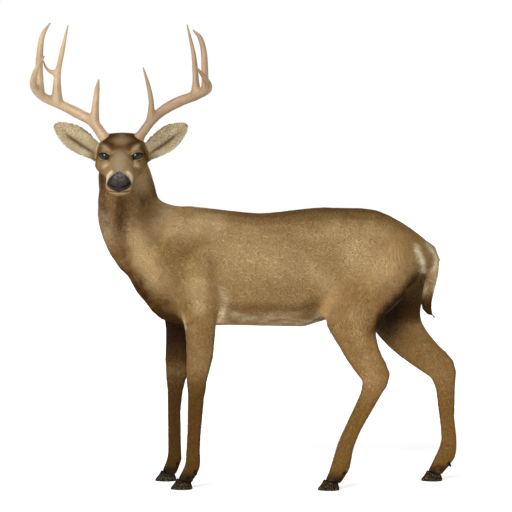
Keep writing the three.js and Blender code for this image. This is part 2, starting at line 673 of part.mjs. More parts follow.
addHead(addTrunkAndNeck());
addEar("left");
addEar("right");
addTail();
LEGS.forEach(addLeg);
addAntler("left");
addAntler("right");

// Stand the deer on the floor, centred on its own box.
const box = new THREE.Box3().setFromObject(deer);
const centre = box.getCenter(new THREE.Vector3());
deer.position.set(-centre.x, -centre.y, -box.min.z);

export default deer;
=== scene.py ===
"""White-tailed deer buck, life size: skin, coat, eyes, nose, antlers and hooves round the solids."""

import itertools
import math
from contextlib import contextmanager
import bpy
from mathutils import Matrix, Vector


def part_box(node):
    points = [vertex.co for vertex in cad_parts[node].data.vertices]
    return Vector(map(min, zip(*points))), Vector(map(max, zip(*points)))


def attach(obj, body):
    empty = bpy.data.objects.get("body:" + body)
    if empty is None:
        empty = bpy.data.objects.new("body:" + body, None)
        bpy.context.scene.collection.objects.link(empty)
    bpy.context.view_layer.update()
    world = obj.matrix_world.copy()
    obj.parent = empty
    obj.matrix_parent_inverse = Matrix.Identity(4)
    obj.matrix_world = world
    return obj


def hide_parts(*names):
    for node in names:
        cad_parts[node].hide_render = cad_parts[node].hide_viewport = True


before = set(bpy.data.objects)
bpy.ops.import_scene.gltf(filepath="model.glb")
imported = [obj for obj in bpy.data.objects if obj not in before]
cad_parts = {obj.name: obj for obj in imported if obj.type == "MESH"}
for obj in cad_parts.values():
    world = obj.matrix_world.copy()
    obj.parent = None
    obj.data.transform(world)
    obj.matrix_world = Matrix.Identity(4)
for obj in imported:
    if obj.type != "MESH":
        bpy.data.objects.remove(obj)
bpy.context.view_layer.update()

from types import SimpleNamespace

import bmesh
import bpy
import numpy as np
from bpy.props import FloatProperty, FloatVectorProperty, IntProperty, PointerProperty
from mathutils import Vector

bl_info = {
    "name": "White-tailed deer",
    "version": (1, 0, 0),
    "blender": (4, 5, 0),
    "location": "3D View > Sidebar > Deer",
    "description": "Builds the skin, coat, eyes, nose, antlers and hooves of a standing buck",
    "category": "Add Mesh",
}

MM = 0.001
ROOT = "root"
DOUBLES = 0.02 * MM  # points closer than this are one


# ---------- small tools ----------
def unit(v):
    v = np.asarray(v, float)
    return v / np.maximum(np.linalg.norm(v, axis=-1, keepdims=True), 1e-12)


def ramp(x, start, end):
    """0 before start, 1 after end, smooth between them; start may lie above end."""
    t = np.clip((np.asarray(x, float) - start) / (end - start), 0, 1)
    return t * t * (3 - 2 * t)


def mix(a, b, t):
    return a + (b - a) * t


def bell(x, middle, reach):
    """1 at middle, falling to nothing over about reach on both sides."""
    return np.exp(-(((x - middle) / reach) ** 2))


def strongest(*shares):
    return np.maximum.reduce(shares)


# Large odd numbers that scatter the bits of a cell's place.
CELL_FACTORS = np.array([374761393, 668265263, 1440670441])
SEED_FACTOR, SCATTER_FACTOR = 1013904223, 1274126177
LOW_BITS, LOWEST_BITS = 0xFFFFFFFF, 0xFFFF
NOISE_START = 1000.0  # where the pattern of cells begins
# The patterns' seeds.
NECK_SEED, WAVE_SEED, RAGGED_SEED, SWIRL_SEEDS = 31, 3, 4, (11, 12, 13)
FURROW_SEED, FINE_FURROW_SEED, RING_SEED, LINE_SEED = 21, 22, 5, 6
PEBBLE_SEED, PEARL_SEED = 5.0, 9.0


def noise(points, scale, seed):
    """Smooth noise from -1 to 1, with bumps about scale across."""
    p = np.asarray(points, float) / scale + NOISE_START
    cell = np.floor(p).astype(np.int64)
    f = p - cell
    f = f * f * (3 - 2 * f)
    total = np.zeros(len(p))
    for corner in itertools.product((0, 1), repeat=3):
        n = ((cell + corner) * CELL_FACTORS).sum(1) + seed * SEED_FACTOR & LOW_BITS
        n = (n ^ (n >> 13)) * SCATTER_FACTOR & LOW_BITS
        n = (n ^ (n >> 16)) & LOWEST_BITS
        wx, wy, wz = np.where(corner, f, 1 - f).T
        total += n / LOWEST_BITS * wx * wy * wz
    return total * 2 - 1


def read(items, key, width=1, kind=float):
    """A number, or a row of numbers, for each of a mesh's items."""
    values = np.empty(len(items) * width, kind)
    items.foreach_get(key, values)
    return values.reshape(-1, width) if width > 1 else values


def points_of(mesh):
    return read(mesh.vertices, "co", 3)


def set_points(mesh, co):
    mesh.vertices.foreach_set("co", np.ascontiguousarray(co, float).ravel())
    mesh.update()


def normals_of(mesh):
    mesh.update()
    return read(mesh.vertex_normals, "vector", 3)


def edges_of(mesh):
    return read(mesh.edges, "vertices", 2, np.int64)


def relax(co, edges, weight, rounds):
    """Moves each point towards the mean of its neighbours, by its weight, some rounds."""
    moved = weight > 0.01
    edges = edges[moved[edges].any(1)]
    used = np.unique(edges)
    slot = np.full(len(co), -1)
    slot[used] = np.arange(len(used))
    i, j = slot[edges].T
    count = len(used)
    degree = np.bincount(i, minlength=count) + np.bincount(j, minlength=count)
    near, share = co[used], np.where(moved, weight, 0)[used, None]
    for _ in range(rounds):
        mean = np.empty_like(near)
        for k in range(co.shape[1]):
            mean[:, k] = np.bincount(i, near[j, k], count) + np.bincount(j, near[i, k], count)
        near += share * (mean / degree[:, None] - near)
    out = co.copy()
    out[used] = near
    return out


def new_object(name, mesh):
    obj = bpy.data.objects.new(name, mesh)
    bpy.context.scene.collection.objects.link(obj)
    return obj


def applied(obj, name):
    """The object's mesh with its modifiers, as a new plain mesh. The object is removed."""
    depsgraph = bpy.context.evaluated_depsgraph_get()
    mesh = bpy.data.meshes.new_from_object(obj.evaluated_get(depsgraph), depsgraph=depsgraph)
    mesh.name = name
    old = obj.data
    bpy.data.objects.remove(obj)
    if old.users == 0:
        bpy.data.meshes.remove(old)
    return mesh


def remeshed(mesh, voxel, name):
    obj = new_object(name, mesh)
    modifier = obj.modifiers.new("Even mesh", "REMESH")
    modifier.mode = "VOXEL"
    modifier.voxel_size = voxel
    modifier.adaptivity = 0
    return applied(obj, name)


def shade_smooth(mesh):
    mesh.polygons.foreach_set("use_smooth", np.ones(len(mesh.polygons), bool))


@contextmanager
def editing(mesh):
    """The mesh as a bmesh, written back at the end."""
    bm = bmesh.new()
    bm.from_mesh(mesh)
    bm.verts.ensure_lookup_table()
    yield bm
    bm.to_mesh(mesh)
    bm.free()


def piece(name, mesh, material, nodes=()):
    """Puts a finished mesh on the deer, and hides the nodes it stands for."""
    old = bpy.data.objects.get(name)
    if old is not None:
        bpy.data.objects.remove(old)
    shade_smooth(mesh)
    mesh.materials.clear()
    mesh.materials.append(material)
    obj = new_object(name, mesh)
    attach(obj, ROOT)
    if nodes:
        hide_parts(*nodes)


def merged_copy(node, grow):
    """A copy of a node's mesh with its doubles merged, grown a little outwards."""
    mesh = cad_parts[node].data.copy()
    with editing(mesh) as bm:
        bmesh.ops.remove_doubles(bm, verts=bm.verts, dist=DOUBLES)
        bm.normal_update()
        for v in bm.verts:
            v.co += v.normal * grow
    return mesh


def joined(meshes, name):
    out = bpy.data.meshes.new(name)
    with editing(out) as bm:
        for mesh in meshes:
            bm.from_mesh(mesh)
            bpy.data.meshes.remove(mesh)
    return out


# ---------- the head's own frame ----------
# The head hangs a little: seen from the front, height is so much of its up less so much of its
# forward. The axes point forward, to the deer's left, and up.
UP_SHARE, AHEAD_SHARE = 0.9, 0.43
FACE = unit([0.011, -UP_SHARE, -AHEAD_SHARE])
FACE_LEFT = unit(np.array([1.0, 0, 0]) - FACE * FACE[0])
FACE_UP = np.cross(FACE, FACE_LEFT)
BALL = np.array([23.0, 51.0, 12.0]) * MM  # the left eyeball's middle on the head


def middle(node):
    low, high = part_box(node)
    return (np.array(low) + np.array(high)) / 2


FACE_AT = (middle("eye_left") + middle("eye_right")) / 2 - FACE * BALL[0] - FACE_UP * BALL[2]
# What the solids' own coordinates, in millimetres, are moved by to stand on the floor.
SHIFT = FACE_AT - np.array([-460, -200, 1156]) * MM


def to_face(points):
    """Points on the head: forward, to the deer's left, and up."""
    p = points - FACE_AT
    return np.stack([p @ FACE, p @ FACE_LEFT, p @ FACE_UP], 1)


def from_face(points):
    """The other way round: places on the head, in metres, as points."""
    p = np.atleast_2d(points)
    return FACE_AT + p[:, :1] * FACE + p[:, 1:2] * FACE_LEFT + p[:, 2:3] * FACE_UP


def side_view(points):
    """Points as seen from the side, where the solids' own coordinates put them."""
    return (points - SHIFT)[:, [0, 2]]


# ---------- the body's middle lines: x, y, z and radius in the solids' millimetres ----------
LINES = {
    "trunk": [(-470, 0, 820, 60), (-400, 0, 815, 130), (-270, 0, 780, 165), (-90, 0, 766, 170),
        (120, 0, 766, 180), (320, 0, 796, 165), (507, 0, 792, 138), (620, 0, 763, 72)],
    "neck": [(-346, 0, 850, 145), (-408, -2, 908, 125), (-444, -12, 978, 105), (-452, -34, 1050, 96),
        (-456, -62, 1112, 86), (-458, -98, 1156, 74)],
    "tail": [(596, 0, 852, 25), (616, 0, 812, 31), (620, 0, 760, 35), (612, 0, 706, 34),
        (602, 0, 656, 29), (605, 0, 630, 23), (613, 0, 611, 16), (636, 0, 588, 5)],
    "ear_right": [(-546, -144, 1169, 28), (-590, -154, 1198, 41), (-626, -162, 1223, 43),
        (-663, -170, 1247, 30), (-692, -176, 1267, 10)],
    "ear_left": [(-376, -148, 1167, 28), (-333, -159, 1197, 41), (-298, -168, 1221, 43),
        (-262, -177, 1246, 30), (-234, -184, 1266, 10)],
    "foreleg_left": [(-222, -88, 700, 66), (-204, -90, 620, 58), (-197, -92, 548, 48),
        (-198, -94, 463, 40), (-204, -96, 400, 32), (-206, -97, 362, 30), (-208, -98, 324, 25),
        (-213, -99, 237, 21), (-218, -100, 140, 21), (-222, -100, 84, 23), (-236, -100, 58, 22),
        (-256, -100, 20, 24)],
    "foreleg_right": [(-292, 88, 700, 66), (-290, 90, 620, 55), (-285, 92, 548, 43),
        (-283, 94, 463, 38), (-284, 96, 400, 32), (-286, 97, 362, 28), (-288, 98, 324, 24),
        (-291, 99, 253, 19), (-291, 100, 140, 20), (-294, 100, 84, 23), (-306, 100, 58, 22),
        (-324, 100, 20, 24)],
    "hindleg_left": [(440, -70, 820, 92), (402, -82, 720, 108), (342, -91, 632, 92),
        (346, -98, 560, 72), (354, -102, 500, 54), (386, -104, 441, 42), (413, -106, 392, 38),
        (406, -108, 346, 33), (382, -111, 300, 27), (341, -114, 222, 24), (310, -118, 150, 24),
        (293, -120, 88, 27), (277, -120, 58, 25), (255, -120, 20, 24)],
    "hindleg_right": [(490, 64, 820, 90), (500, 78, 720, 100), (506, 88, 632, 88),
        (530, 94, 560, 68), (568, 97, 500, 56), (616, 98, 446, 44), (660, 99, 402, 38),
        (676, 100, 352, 32), (679, 100, 300, 26), (684, 100, 226, 22), (690, 100, 150, 22),
        (682, 100, 96, 26), (660, 100, 62, 25), (634, 100, 20, 24)],
}
# The head's, on the head: forward, up and radius.
HEAD_LINE = [(-122, -11, 40), (-95, -13, 64), (-60, -13, 78), (-25, -14, 81), (4, -15, 77),
    (42, -18, 57), (94, -22, 45), (152, -27, 39), (184, -26, 26), (191, -26, 18)]
LEGS = [name for name in LINES if "leg" in name]
EARS = ["ear_left", "ear_right"]


def line_points(name):
    """A middle line's points and radii, in metres."""
    if name == "head":
        rows = np.array(HEAD_LINE, float) * MM
        flat = np.stack([rows[:, 0], np.zeros(len(rows)), rows[:, 1]], 1)
        return from_face(flat), rows[:, 2]
    rows = np.array(LINES[name], float) * MM
    return rows[:, :3] + SHIFT, rows[:, 3]


def along_line(points, name):
    """For each point, against the nearest place on a middle line: how many radii away it is, how far
    along the line (0 to 1), the line's direction, and the offset from the line in metres."""
    line, radii = line_points(name)
    steps = np.diff(line, axis=0)
    lengths = np.linalg.norm(steps, axis=1)
    starts = np.concatenate([[0], np.cumsum(lengths)])
    best = np.full(len(points), np.inf)
    place = np.zeros(len(points))
    offset = np.zeros((len(points), 3))
    for k, step in enumerate(steps):
        t = np.clip((points - line[k]) @ step / lengths[k] ** 2, 0, 1)
        away = points - line[k] - t[:, None] * step
        ratio = np.linalg.norm(away, axis=1) / mix(radii[k], radii[k + 1], t)
        nearer = ratio < best
        best[nearer] = ratio[nearer]
        place[nearer] = (starts[k] + t * lengths[k])[nearer]
        offset[nearer] = away[nearer]
    centres = (starts[:-1] + starts[1:]) / 2
    directions = unit(steps)
    direction = unit(np.stack([np.interp(place, centres, directions[:, c]) for c in range(3)], 1))
    return best, place / starts[-1], direction, offset


def distance_to(points, path):
    """Distance from each point to a path."""
    best = np.full(len(points), np.inf)
    for start, end in zip(path[:-1], path[1:]):
        step = end - start
        t = np.clip((points - start) @ step / (step @ step), 0, 1)
        best = np.minimum(best, np.linalg.norm(points - start - t[:, None] * step, axis=1))
    return best


REGIONS = ["trunk", "neck", "head", "tail", *EARS, *LEGS]
BORDER_SHARPNESS = 9.0  # of the shares, where two regions meet
BODY_REACH = 0.94  # trunk and neck reach a little beyond their radii
EAR_REACH = (1.25, 0.9)  # the ears less than theirs at the root, and more further out


def regions_of(points):
    """Each point's share of each region of the body, and its places on their middle lines."""
    places = {name: along_line(points, name) for name in REGIONS}
    ratios = np.stack([places[name][0] for name in REGIONS], 1)
    for name in ("trunk", "neck"):
        ratios[:, REGIONS.index(name)] *= BODY_REACH
    for name in EARS:
        ratios[:, REGIONS.index(name)] *= mix(*EAR_REACH, ramp(places[name][1], 0.02, 0.16))
    share = np.exp(-BORDER_SHARPNESS * (ratios - ratios.min(1, keepdims=True)))
    share /= share.sum(1, keepdims=True)
    return {name: share[:, k] for k, name in enumerate(REGIONS)}, places


# ---------- skin ----------
FLESH = ["trunk", "neck", "head", "nose_pad", "tail", *EARS]
FLESH += [f"{leg}_{part}" for leg in LEGS
    for part in (("forearm", "cannon", "pastern") if leg.startswith("fore")
        else ("thigh", "gaskin", "cannon", "pastern"))]
VOXEL = 3.0 * MM
OVERLAP = 0.6 * MM  # closes the parting cuts between the solids
SKIN_ROUNDS = 45  # of rounding
HAUNCH_ROUNDING = 0.95  # of the legs' tops, as strong as the trunk's
SEAM_ROUNDING = 0.98
FINE_MUZZLE, FINE_EYES = 34 * MM, 30 * MM  # the mesh is finer this near eyes and lips

# How strongly each region's facets are rounded, and how deep its coat lies, in millimetres.
ROUNDING = {"trunk": 0.95, "neck": 0.9, "head": 0.2, "tail": 0.75, "ear": 0.14, "leg": 0.24}
DEPTH = {"trunk": 3.2, "neck": 4.2, "head": 1.7, "tail": 6.0, "ear": 1.1, "leg": 1.5}

# Where the legs meet flank and chest on the left (-1) and right (1), and the tail the croup (0):
# side, x and z in the solids' millimetres, half width, and rounds of smoothing.
SEAMS = [(-1, [(420, 800), (310, 740), (252, 676), (240, 650)], 46, 170),
    (1, [(490, 800), (410, 740), (360, 676), (350, 650)], 46, 170),
    (-1, [(-288, 740), (-270, 680), (-256, 630)], 34, 170),
    (1, [(-352, 740), (-340, 680), (-332, 630)], 34, 170),
    (0, [(590, 872), (628, 838)], 24, 50)]


def by_region(shares, table):
    """A number for each point, from its shares of the regions."""
    total = 0
    for name, share in shares.items():
        key = name if name in table else name.split("_")[0][-3:]
        total = total + share * table[key]
    return total


# The body's forms in side view: middle line x, z in the solids' millimetres, half width and height
# out of the skin. Left and right sides differ in the legs' places, so each form names its side.
SIDE_FORMS = [
    # shoulder blade, point of the shoulder, upper arm, elbow
    ("both", [(-262, 940), (-330, 800)], 55, 5.2),
    ("both", [(-300, 930), (-368, 800)], 28, -3.0),
    ("both", [(-385, 760), (-360, 720)], 55, 6.8),
    ("both", [(-350, 700), (-240, 655)], 58, 5.2),
    ("both", [(-215, 930), (-228, 730)], 42, -4.5),
    ("both", [(-300, 640), (-225, 580)], 28, -2.2),
    # brisket groove, ribs, flank hollow, hip bone, loin
    ("both", [(-200, 640), (-160, 600)], 32, -3.8),
    ("both", [(-60, 760), (90, 740)], 150, 3.8),
    ("both", [(235, 880), (262, 690)], 58, -2.5),
    ("both", [(300, 940), (345, 925)], 30, 4.5),
    ("both", [(-120, 935), (250, 945)], 25, 1.9),
    # haunch
    ("left", [(360, 850), (340, 700)], 72, 4.5),
    ("left", [(455, 850), (435, 700)], 38, -3.8),
    ("left", [(520, 830), (480, 700)], 55, 4.5),
    ("left", [(290, 640), (300, 600)], 32, 3.8),
    ("right", [(430, 850), (440, 700)], 72, 4.5),
    ("right", [(520, 800), (540, 640)], 30, -3.8),
    ("right", [(575, 790), (585, 680)], 38, 3.8),
]

# Hollows of the chest's front edge: x and z of their middle lines, half width and depth.
CHEST_HOLLOWS = [([(-458, 800), (-446, 752)], 34, 9.0), ([(-384, 664), (-372, 648)], 15, 6.0)]
# The hollow of the throat: height over the floor, half height and depth.
THROAT_HOLLOW = (1020 * MM, 60 * MM, 6.5 * MM)
NECK_LUMPS = (1.6 * MM, 35 * MM)  # height and width of the lumps of the neck's longer hair

# Forms of the legs: height on the solids, offset to the front across the leg, half height, half
# width across, height out of the skin, and which faces: outer, inner, both, back, or those of one leg.
FORE_FORMS = [
    (500, 14, 60, 20, 2.4, "both"), (470, -22, 60, 16, 1.8, "both"), (470, -4, 70, 8, -1.5, "both"),
    (378, 16, 22, 21, 2.1, "both"), (345, -20, 16, 16, 1.5, "back"), (396, -2, 12, 10, -1.2, "both"),
    (220, -5, 95, 6, -1.8, "both"), (220, 10, 95, 10, 0.9, "both"), (92, -10, 18, 21, 1.8, "both"),
    (60, 6, 14, 16, -0.9, "both"), (388, -30, 22, 22, 6.0, "right back"),
]
HIND_FORMS = [
    (560, 30, 70, 31, 3.0, "both"), (500, -24, 60, 21, 2.4, "both"), (470, 4, 60, 12, -2.1, "both"),
    (440, -26, 34, 8, -3.6, "both"), (396, -32, 20, 16, 2.4, "back"), (372, 6, 22, 18, 1.8, "both"),
    (350, -18, 16, 10, -1.8, "both"), (220, -6, 90, 6, -2.1, "both"), (220, 10, 90, 10, 0.9, "both"),
    (96, -10, 18, 21, 2.1, "both"), (62, 6, 14, 16, -0.9, "both"),
    (520, 60, 45, 45, -6.0, "left front"),
]

# Forms of the head: forward, sideways, up, their three reaches, and height out of the skin.
HEAD_FORMS = [
    (12, 57, 38, 24, 18, 10, 6.0),  # brow over the eye
    (28, 62, -13, 22, 12, 9, 3.0),  # rim under the eye
    (-20, 78, 14, 18, 14, 17, -4.0),  # temple
    (0, 80, -32, 34, 12, 12, 3.5),  # cheekbone
    (60, 46, 4, 24, 15, 15, -11.0),  # hollow before the eye
    (86, 0, 26, 60, 13, 14, 2.0),  # bridge of the nose
    (84, 34, 12, 46, 9, 12, -1.5),  # beside the bridge
    (-26, 72, -58, 34, 16, 26, 4.0),  # jaw muscle
    (100, 46, -42, 24, 12, 14, -3.5),  # cheek behind the mouth
    (158, 40, -36, 20, 14, 13, 3.0),  # upper lip
    (160, 0, -60, 16, 20, 8, 2.0),  # chin
    (50, 0, -80, 55, 14, 14, -6.0),  # between the jaws
    (172, 26, -10, 12, 10, 9, 3.0),  # rim of the nostril
    (14, 0, 52, 26, 20, 12, -2.5),  # between the brows
    (-58, 54, 46, 30, 26, 22, 5.0),  # fur round the antler's root
]
MOUTH = [(194, -43), (184, -44), (172, -46), (150, -47), (122, -49), (98, -54)]  # forward and up
# Seen from the front: sideways from the middle, and up.
NOSTRIL = [(13, -104), (22, -102), (31, -95), (35, -85)]
TEAR_PIT = [(38, -3), (33, -11)]
# Dark skin drawn out from the eye's inner and outer corners: from, to and half width.
EYE_CORNERS = (((42, -1), (34, -8), 3.1), ((70, 6), (80, 11), 3.1))
# Where the mesh is finer round nose and lips: forward, sideways and up.
MUZZLE_SPOTS = [(189, 0, -38), (182, 30, -40), (172, 38, -26), (150, 40, -44), (122, 44, -48)]
# The bare nose's outline seen from the front: height and half width, and where it ends behind.
NOSE_OUTLINE = [(-118, 0), (-115, 16), (-110, 27), (-102, 37), (-93, 41), (-84, 39), (-75, 34),
    (-66, 26), (-58, 16), (-52, 7), (-49, 0)]
NOSE_BACK = 130 * MM


def fold(face):
    """Head points with the right side laid on the left."""
    out = face.copy()
    out[:, 1] = np.abs(out[:, 1])
    return out


def level_of(face):
    """How high head points lie, seen from the front."""
    return UP_SHARE * face[:, 2] - AHEAD_SHARE * face[:, 0]


def front_of(face):
    """Head points as they are seen from the front, the right side laid on the left."""
    return np.stack([np.abs(face[:, 1]), level_of(face)], 1)


def mouth_line(face, width):
    return stroke(face[:, [0, 2]], MOUTH, width)


def mound(points, centre, reach):
    """1 at centre, falling to nothing over about the three reaches."""
    d = (points - np.array(centre) * MM) / (np.array(reach) * MM)
    return np.exp(-(d**2).sum(1))


def stroke(points, path, width):
    """1 on a path, falling to nothing over about its half width, all in millimetres."""
    return bell(distance_to(points, np.array(path, float) * MM), 0, width * MM)


def body_forms(co, normal, places, shares):
    """How far the body's muscles and bones stand out of the skin, in metres."""
    flat, z = side_view(co), co[:, 2]
    neck = shares["neck"]
    body = shares["trunk"] + neck + sum(shares[leg] * ramp(z, 0.45, 0.6) for leg in LEGS)
    level, tall, depth = THROAT_HOLLOW
    out = -depth * neck * ramp(-normal[:, 0], 0.3, 0.8) * bell(z, level, tall)
    high, wide = NECK_LUMPS
    out += high * neck * noise(co, wide, NECK_SEED)
    for path, width, depth in CHEST_HOLLOWS:
        out -= depth * MM * stroke(flat, path, width) * body * ramp(-normal[:, 0], 0.1, 0.6)
    for side, path, width, height in SIDE_FORMS:
        facing = {"left": -normal[:, 1], "right": normal[:, 1], "both": np.abs(normal[:, 1])}[side]
        out += height * MM * stroke(flat, path, width) * ramp(facing, 0.1, 0.7) * body
    for leg in LEGS:
        out += leg_forms(leg, z, normal, places[leg]) * shares[leg]
    return out


def leg_forms(leg, z, normal, place):
    """The same for one leg's joints, tendons and muscles."""
    direction, offset = place[2:]
    ahead = unit(np.cross([0, 1, 0], direction))
    ahead *= np.where(ahead[:, :1] > 0, -1, 1)
    across, forward = (offset * ahead).sum(1), (normal * ahead).sum(1)
    outward = normal[:, 1] * (-1 if "left" in leg else 1)
    facings = {"outer": outward, "inner": -outward, "both": np.abs(outward), "back": -forward,
        "left front": forward * ("left" in leg), "right back": -forward * ("right" in leg)}
    out = np.zeros(len(z))
    for height, ahead_by, tall, wide, out_by, faces in FORE_FORMS if "fore" in leg else HIND_FORMS:
        form = bell(z, height * MM, tall * MM) * bell(across, ahead_by * MM, wide * MM)
        out += out_by * MM * form * ramp(facings[faces], 0, 0.6)
    return out


LOOK = (0.86, 0.29, 0.42)  # the way the left eye looks: forward, to the left and up
SLANT = 0.31  # the outer corner of the eye sits higher
BALL_RADIUS = 21.8 * MM
OPENING = (27.5 * MM, 10.4 * MM, 9.4 * MM)  # half width of the opening, and its height up and down
CORNER = 1.36  # the opening's corners are pointed
EYE_AREA = 46 * MM  # the marks round an eye reach this far from the ball's middle
# The skin behind the ball's front, how far the lids stand out of it, and how much more the upper
# one. The lids' folds: place and reach on the opening, depth, and above (1) or below (-1).
LID_DEPTH, LID_HEIGHT, UPPER_LID = -5.0, 1.6, 1.1
LID_FOLDS = ((1.55, 0.16, 1.8, 1), (1.42, 0.13, 0.9, -1))


def eye_frame(sign):
    """The left (1) or right (-1) eyeball's middle, the way it looks, its width and its height."""
    centre = from_face([BALL[0], sign * BALL[1], BALL[2]])[0]
    look = unit(FACE * LOOK[0] + FACE_LEFT * LOOK[1] * sign + FACE_UP * LOOK[2])
    wide = FACE_LEFT * sign - look * ((FACE_LEFT * sign) @ look)
    wide = unit(unit(wide) + FACE_UP * SLANT)
    wide = unit(wide - look * (wide @ look))
    high = np.cross(look, wide)
    return centre, look, wide, high * np.sign(high @ FACE_UP)


def eye_opening(points, sign):
    """For points near an eye: 1 on the edge of the lids and less inside, the direction from the
    ball's middle, the distance from it, how far it faces out, and the height over the opening."""
    centre, look, wide, high = eye_frame(sign)
    away = points - centre
    distance = np.linalg.norm(away, axis=1)
    direction = away / np.maximum(distance, 1e-9)[:, None]
    facing = direction @ look
    angle = np.arccos(np.clip(facing, -1, 1))
    flat = unit(direction - facing[:, None] * look) * (angle * BALL_RADIUS)[:, None]
    x, y = flat @ wide, flat @ high
    tall = np.where(y > 0, OPENING[1], OPENING[2])
    edge = (np.abs(x / OPENING[0]) ** CORNER + np.abs(y / tall) ** CORNER) ** (1 / CORNER)
    return edge, direction, distance, facing, y


def round_eye(points, sign):
    """Which points lie round an eye, and where they are on its opening, 1 on the lids' edge."""
    edge, _, distance, facing, _ = eye_opening(points, sign)
    return (distance < EYE_AREA) & (facing > -0.2), edge


def shape_eyes(co):
    """Lids that wrap the eyeballs, with a fold over and under them."""
    co = co.copy()
    for sign in (1, -1):
        centre = eye_frame(sign)[0]
        near = np.linalg.norm(co - centre, axis=1) < 50 * MM
        edge, direction, distance, facing, y = eye_opening(co[near], sign)
        lid = LID_HEIGHT + UPPER_LID * ramp(y, 0, 8 * MM)
        wrap = mix(LID_DEPTH, lid, ramp(edge, 0.9, 1.04)) * MM + BALL_RADIUS
        for place, reach, depth, above in LID_FOLDS:
            wrap -= depth * MM * bell(edge, place, reach) * ramp(above * y, 0, 5 * MM)
        hold = (1 - ramp(edge, 1.35, 2.5)) * ramp(facing, -0.35, 0.15)
        co[near] = centre + direction * mix(distance, wrap, hold)[:, None]
    return co


def nose_reach(face):
    """Above 0 on the bare nose, in metres inside its edge, for head points."""
    height = level_of(face)
    level, half = np.array(NOSE_OUTLINE).T * MM
    width = np.interp(height, level, half, left=-0.02, right=-0.02)
    inside = np.minimum(width - np.abs(face[:, 1]), face[:, 0] - NOSE_BACK)
    outside = np.maximum(height - level[-1], level[0] - height)
    return np.where(outside > 0, -outside, inside)


def head_forms(co, normal, share):
    """How far the head's bones, lips, nostrils and mouth stand out of the skin, in metres."""
    face = to_face(co)
    near, front, forward, side = fold(face), front_of(face), face[:, 0], face[:, 1]
    out = np.zeros(len(co))
    for a, s, h, ra, rs, rh, height in HEAD_FORMS:
        out += height * mound(near, (a, s, h), (ra, rs, rh))
    snout = ramp(forward, 0.13, 0.15) * ramp(normal @ FACE, 0.1, 0.4)
    # the mouth, the swell of the lower lip, the pit before the eye
    out -= 3.0 * mouth_line(face, 2.6) * ramp(normal @ FACE_UP, 0.9, 0.5)
    out += 1.0 * mouth_line(face + (0, 0, 6 * MM), 4)
    out -= 2.6 * stroke(front, TEAR_PIT, 3.2) * ramp(forward, 0.0, 0.03)
    # the nostril, its rim, the left cheek, the groove down the upper lip
    out -= 9.0 * stroke(front, NOSTRIL, 3.4) * snout
    out += 2.4 * stroke(front, [(s - 2, up + 8) for s, up in NOSTRIL], 4.5) * snout
    out += 4.5 * ramp(-side, 0.06, 0.08) * ramp(front[:, 1], 0.0, -0.03) * ramp(forward, 0.05, 0.0)
    out -= 1.4 * bell(side, 0, 1.6 * MM) * ramp(forward, 0.172, 0.182)
    return out * MM * ramp(share, 0.2, 0.7)


def subdivide_near(mesh, places, reach):
    """Halves the mesh's edges near some places."""
    co = points_of(mesh)
    near = np.zeros(len(co), bool)
    for place in places:
        near |= np.linalg.norm(co - place, axis=1) < reach
    with editing(mesh) as bm:
        edges = [e for e in bm.edges if near[e.verts[0].index] and near[e.verts[1].index]]
        bmesh.ops.subdivide_edges(bm, edges=edges, cuts=1, use_grid_fill=True)
        bmesh.ops.triangulate(bm, faces=[f for f in bm.faces if len(f.verts) > 4])
    mesh.update()


def even_flesh():
    """The flesh's solids and the eyes joined into one even mesh."""
    parts = [merged_copy(node, OVERLAP) for node in (*FLESH, "eye_left", "eye_right")]
    return remeshed(joined(parts, "flesh"), VOXEL, "flesh")


def without_crumbs(mesh):
    """Drops the bits that aren't joined to the mesh's largest piece."""
    i, j = edges_of(mesh).T
    label = np.arange(len(mesh.vertices))
    while True:
        low = label.copy()
        joint = np.minimum(label[i], label[j])
        np.minimum.at(low, i, joint)
        np.minimum.at(low, j, joint)
        low = low[low]
        if (low == label).all():
            break
        label = low
    loose = label != np.bincount(label).argmax()
    with editing(mesh) as bm:
        bmesh.ops.delete(bm, geom=[v for v in bm.verts if loose[v.index]], context="VERTS")
    return mesh


def skin_mesh(faces):
    """One skin for the whole body, inside the solids by the coat's depth."""
    mesh = even_flesh()
    set_points(mesh, rounded(points_of(mesh), edges_of(mesh)))
    eyes = [eye_frame(sign)[0] for sign in (1, -1)]
    muzzle = [from_face([a * MM, sign * s * MM, h * MM])[0] for a, s, h in MUZZLE_SPOTS
        for sign in (1, -1)]
    subdivide_near(mesh, [*eyes, *muzzle], FINE_MUZZLE)
    subdivide_near(mesh, eyes, FINE_EYES)
    co, normal = points_of(mesh), normals_of(mesh)
    shares, places = regions_of(co)
    face, head = to_face(co), shares["head"]
    # the coat is thinner on the muzzle and thicker on the crown, and the nose lies under the skin
    depth = by_region(shares, DEPTH) * MM
    depth *= mix(1, 0.45, ramp(face[:, 0], 0.06, 0.13) * head)
    depth *= mix(1, 1.9, mound(face, (-70, 0, 50), (50, 60, 40)) * head)
    depth += 1.0 * MM * ramp(nose_reach(face), -1 * MM, 2 * MM)
    out = body_forms(co, normal, places, shares) + head_forms(co, normal, head)
    set_points(mesh, shape_eyes(co + normal * (out - depth)[:, None]))
    nose_patch(mesh).use_fake_user = True
    ratio = faces / (2 * len(mesh.polygons))
    obj = new_object("skin", mesh)
    modifier = obj.modifiers.new("Fewer faces", "DECIMATE")
    modifier.ratio = ratio
    modifier.use_collapse_triangulate = True
    return without_crumbs(applied(obj, "skin"))


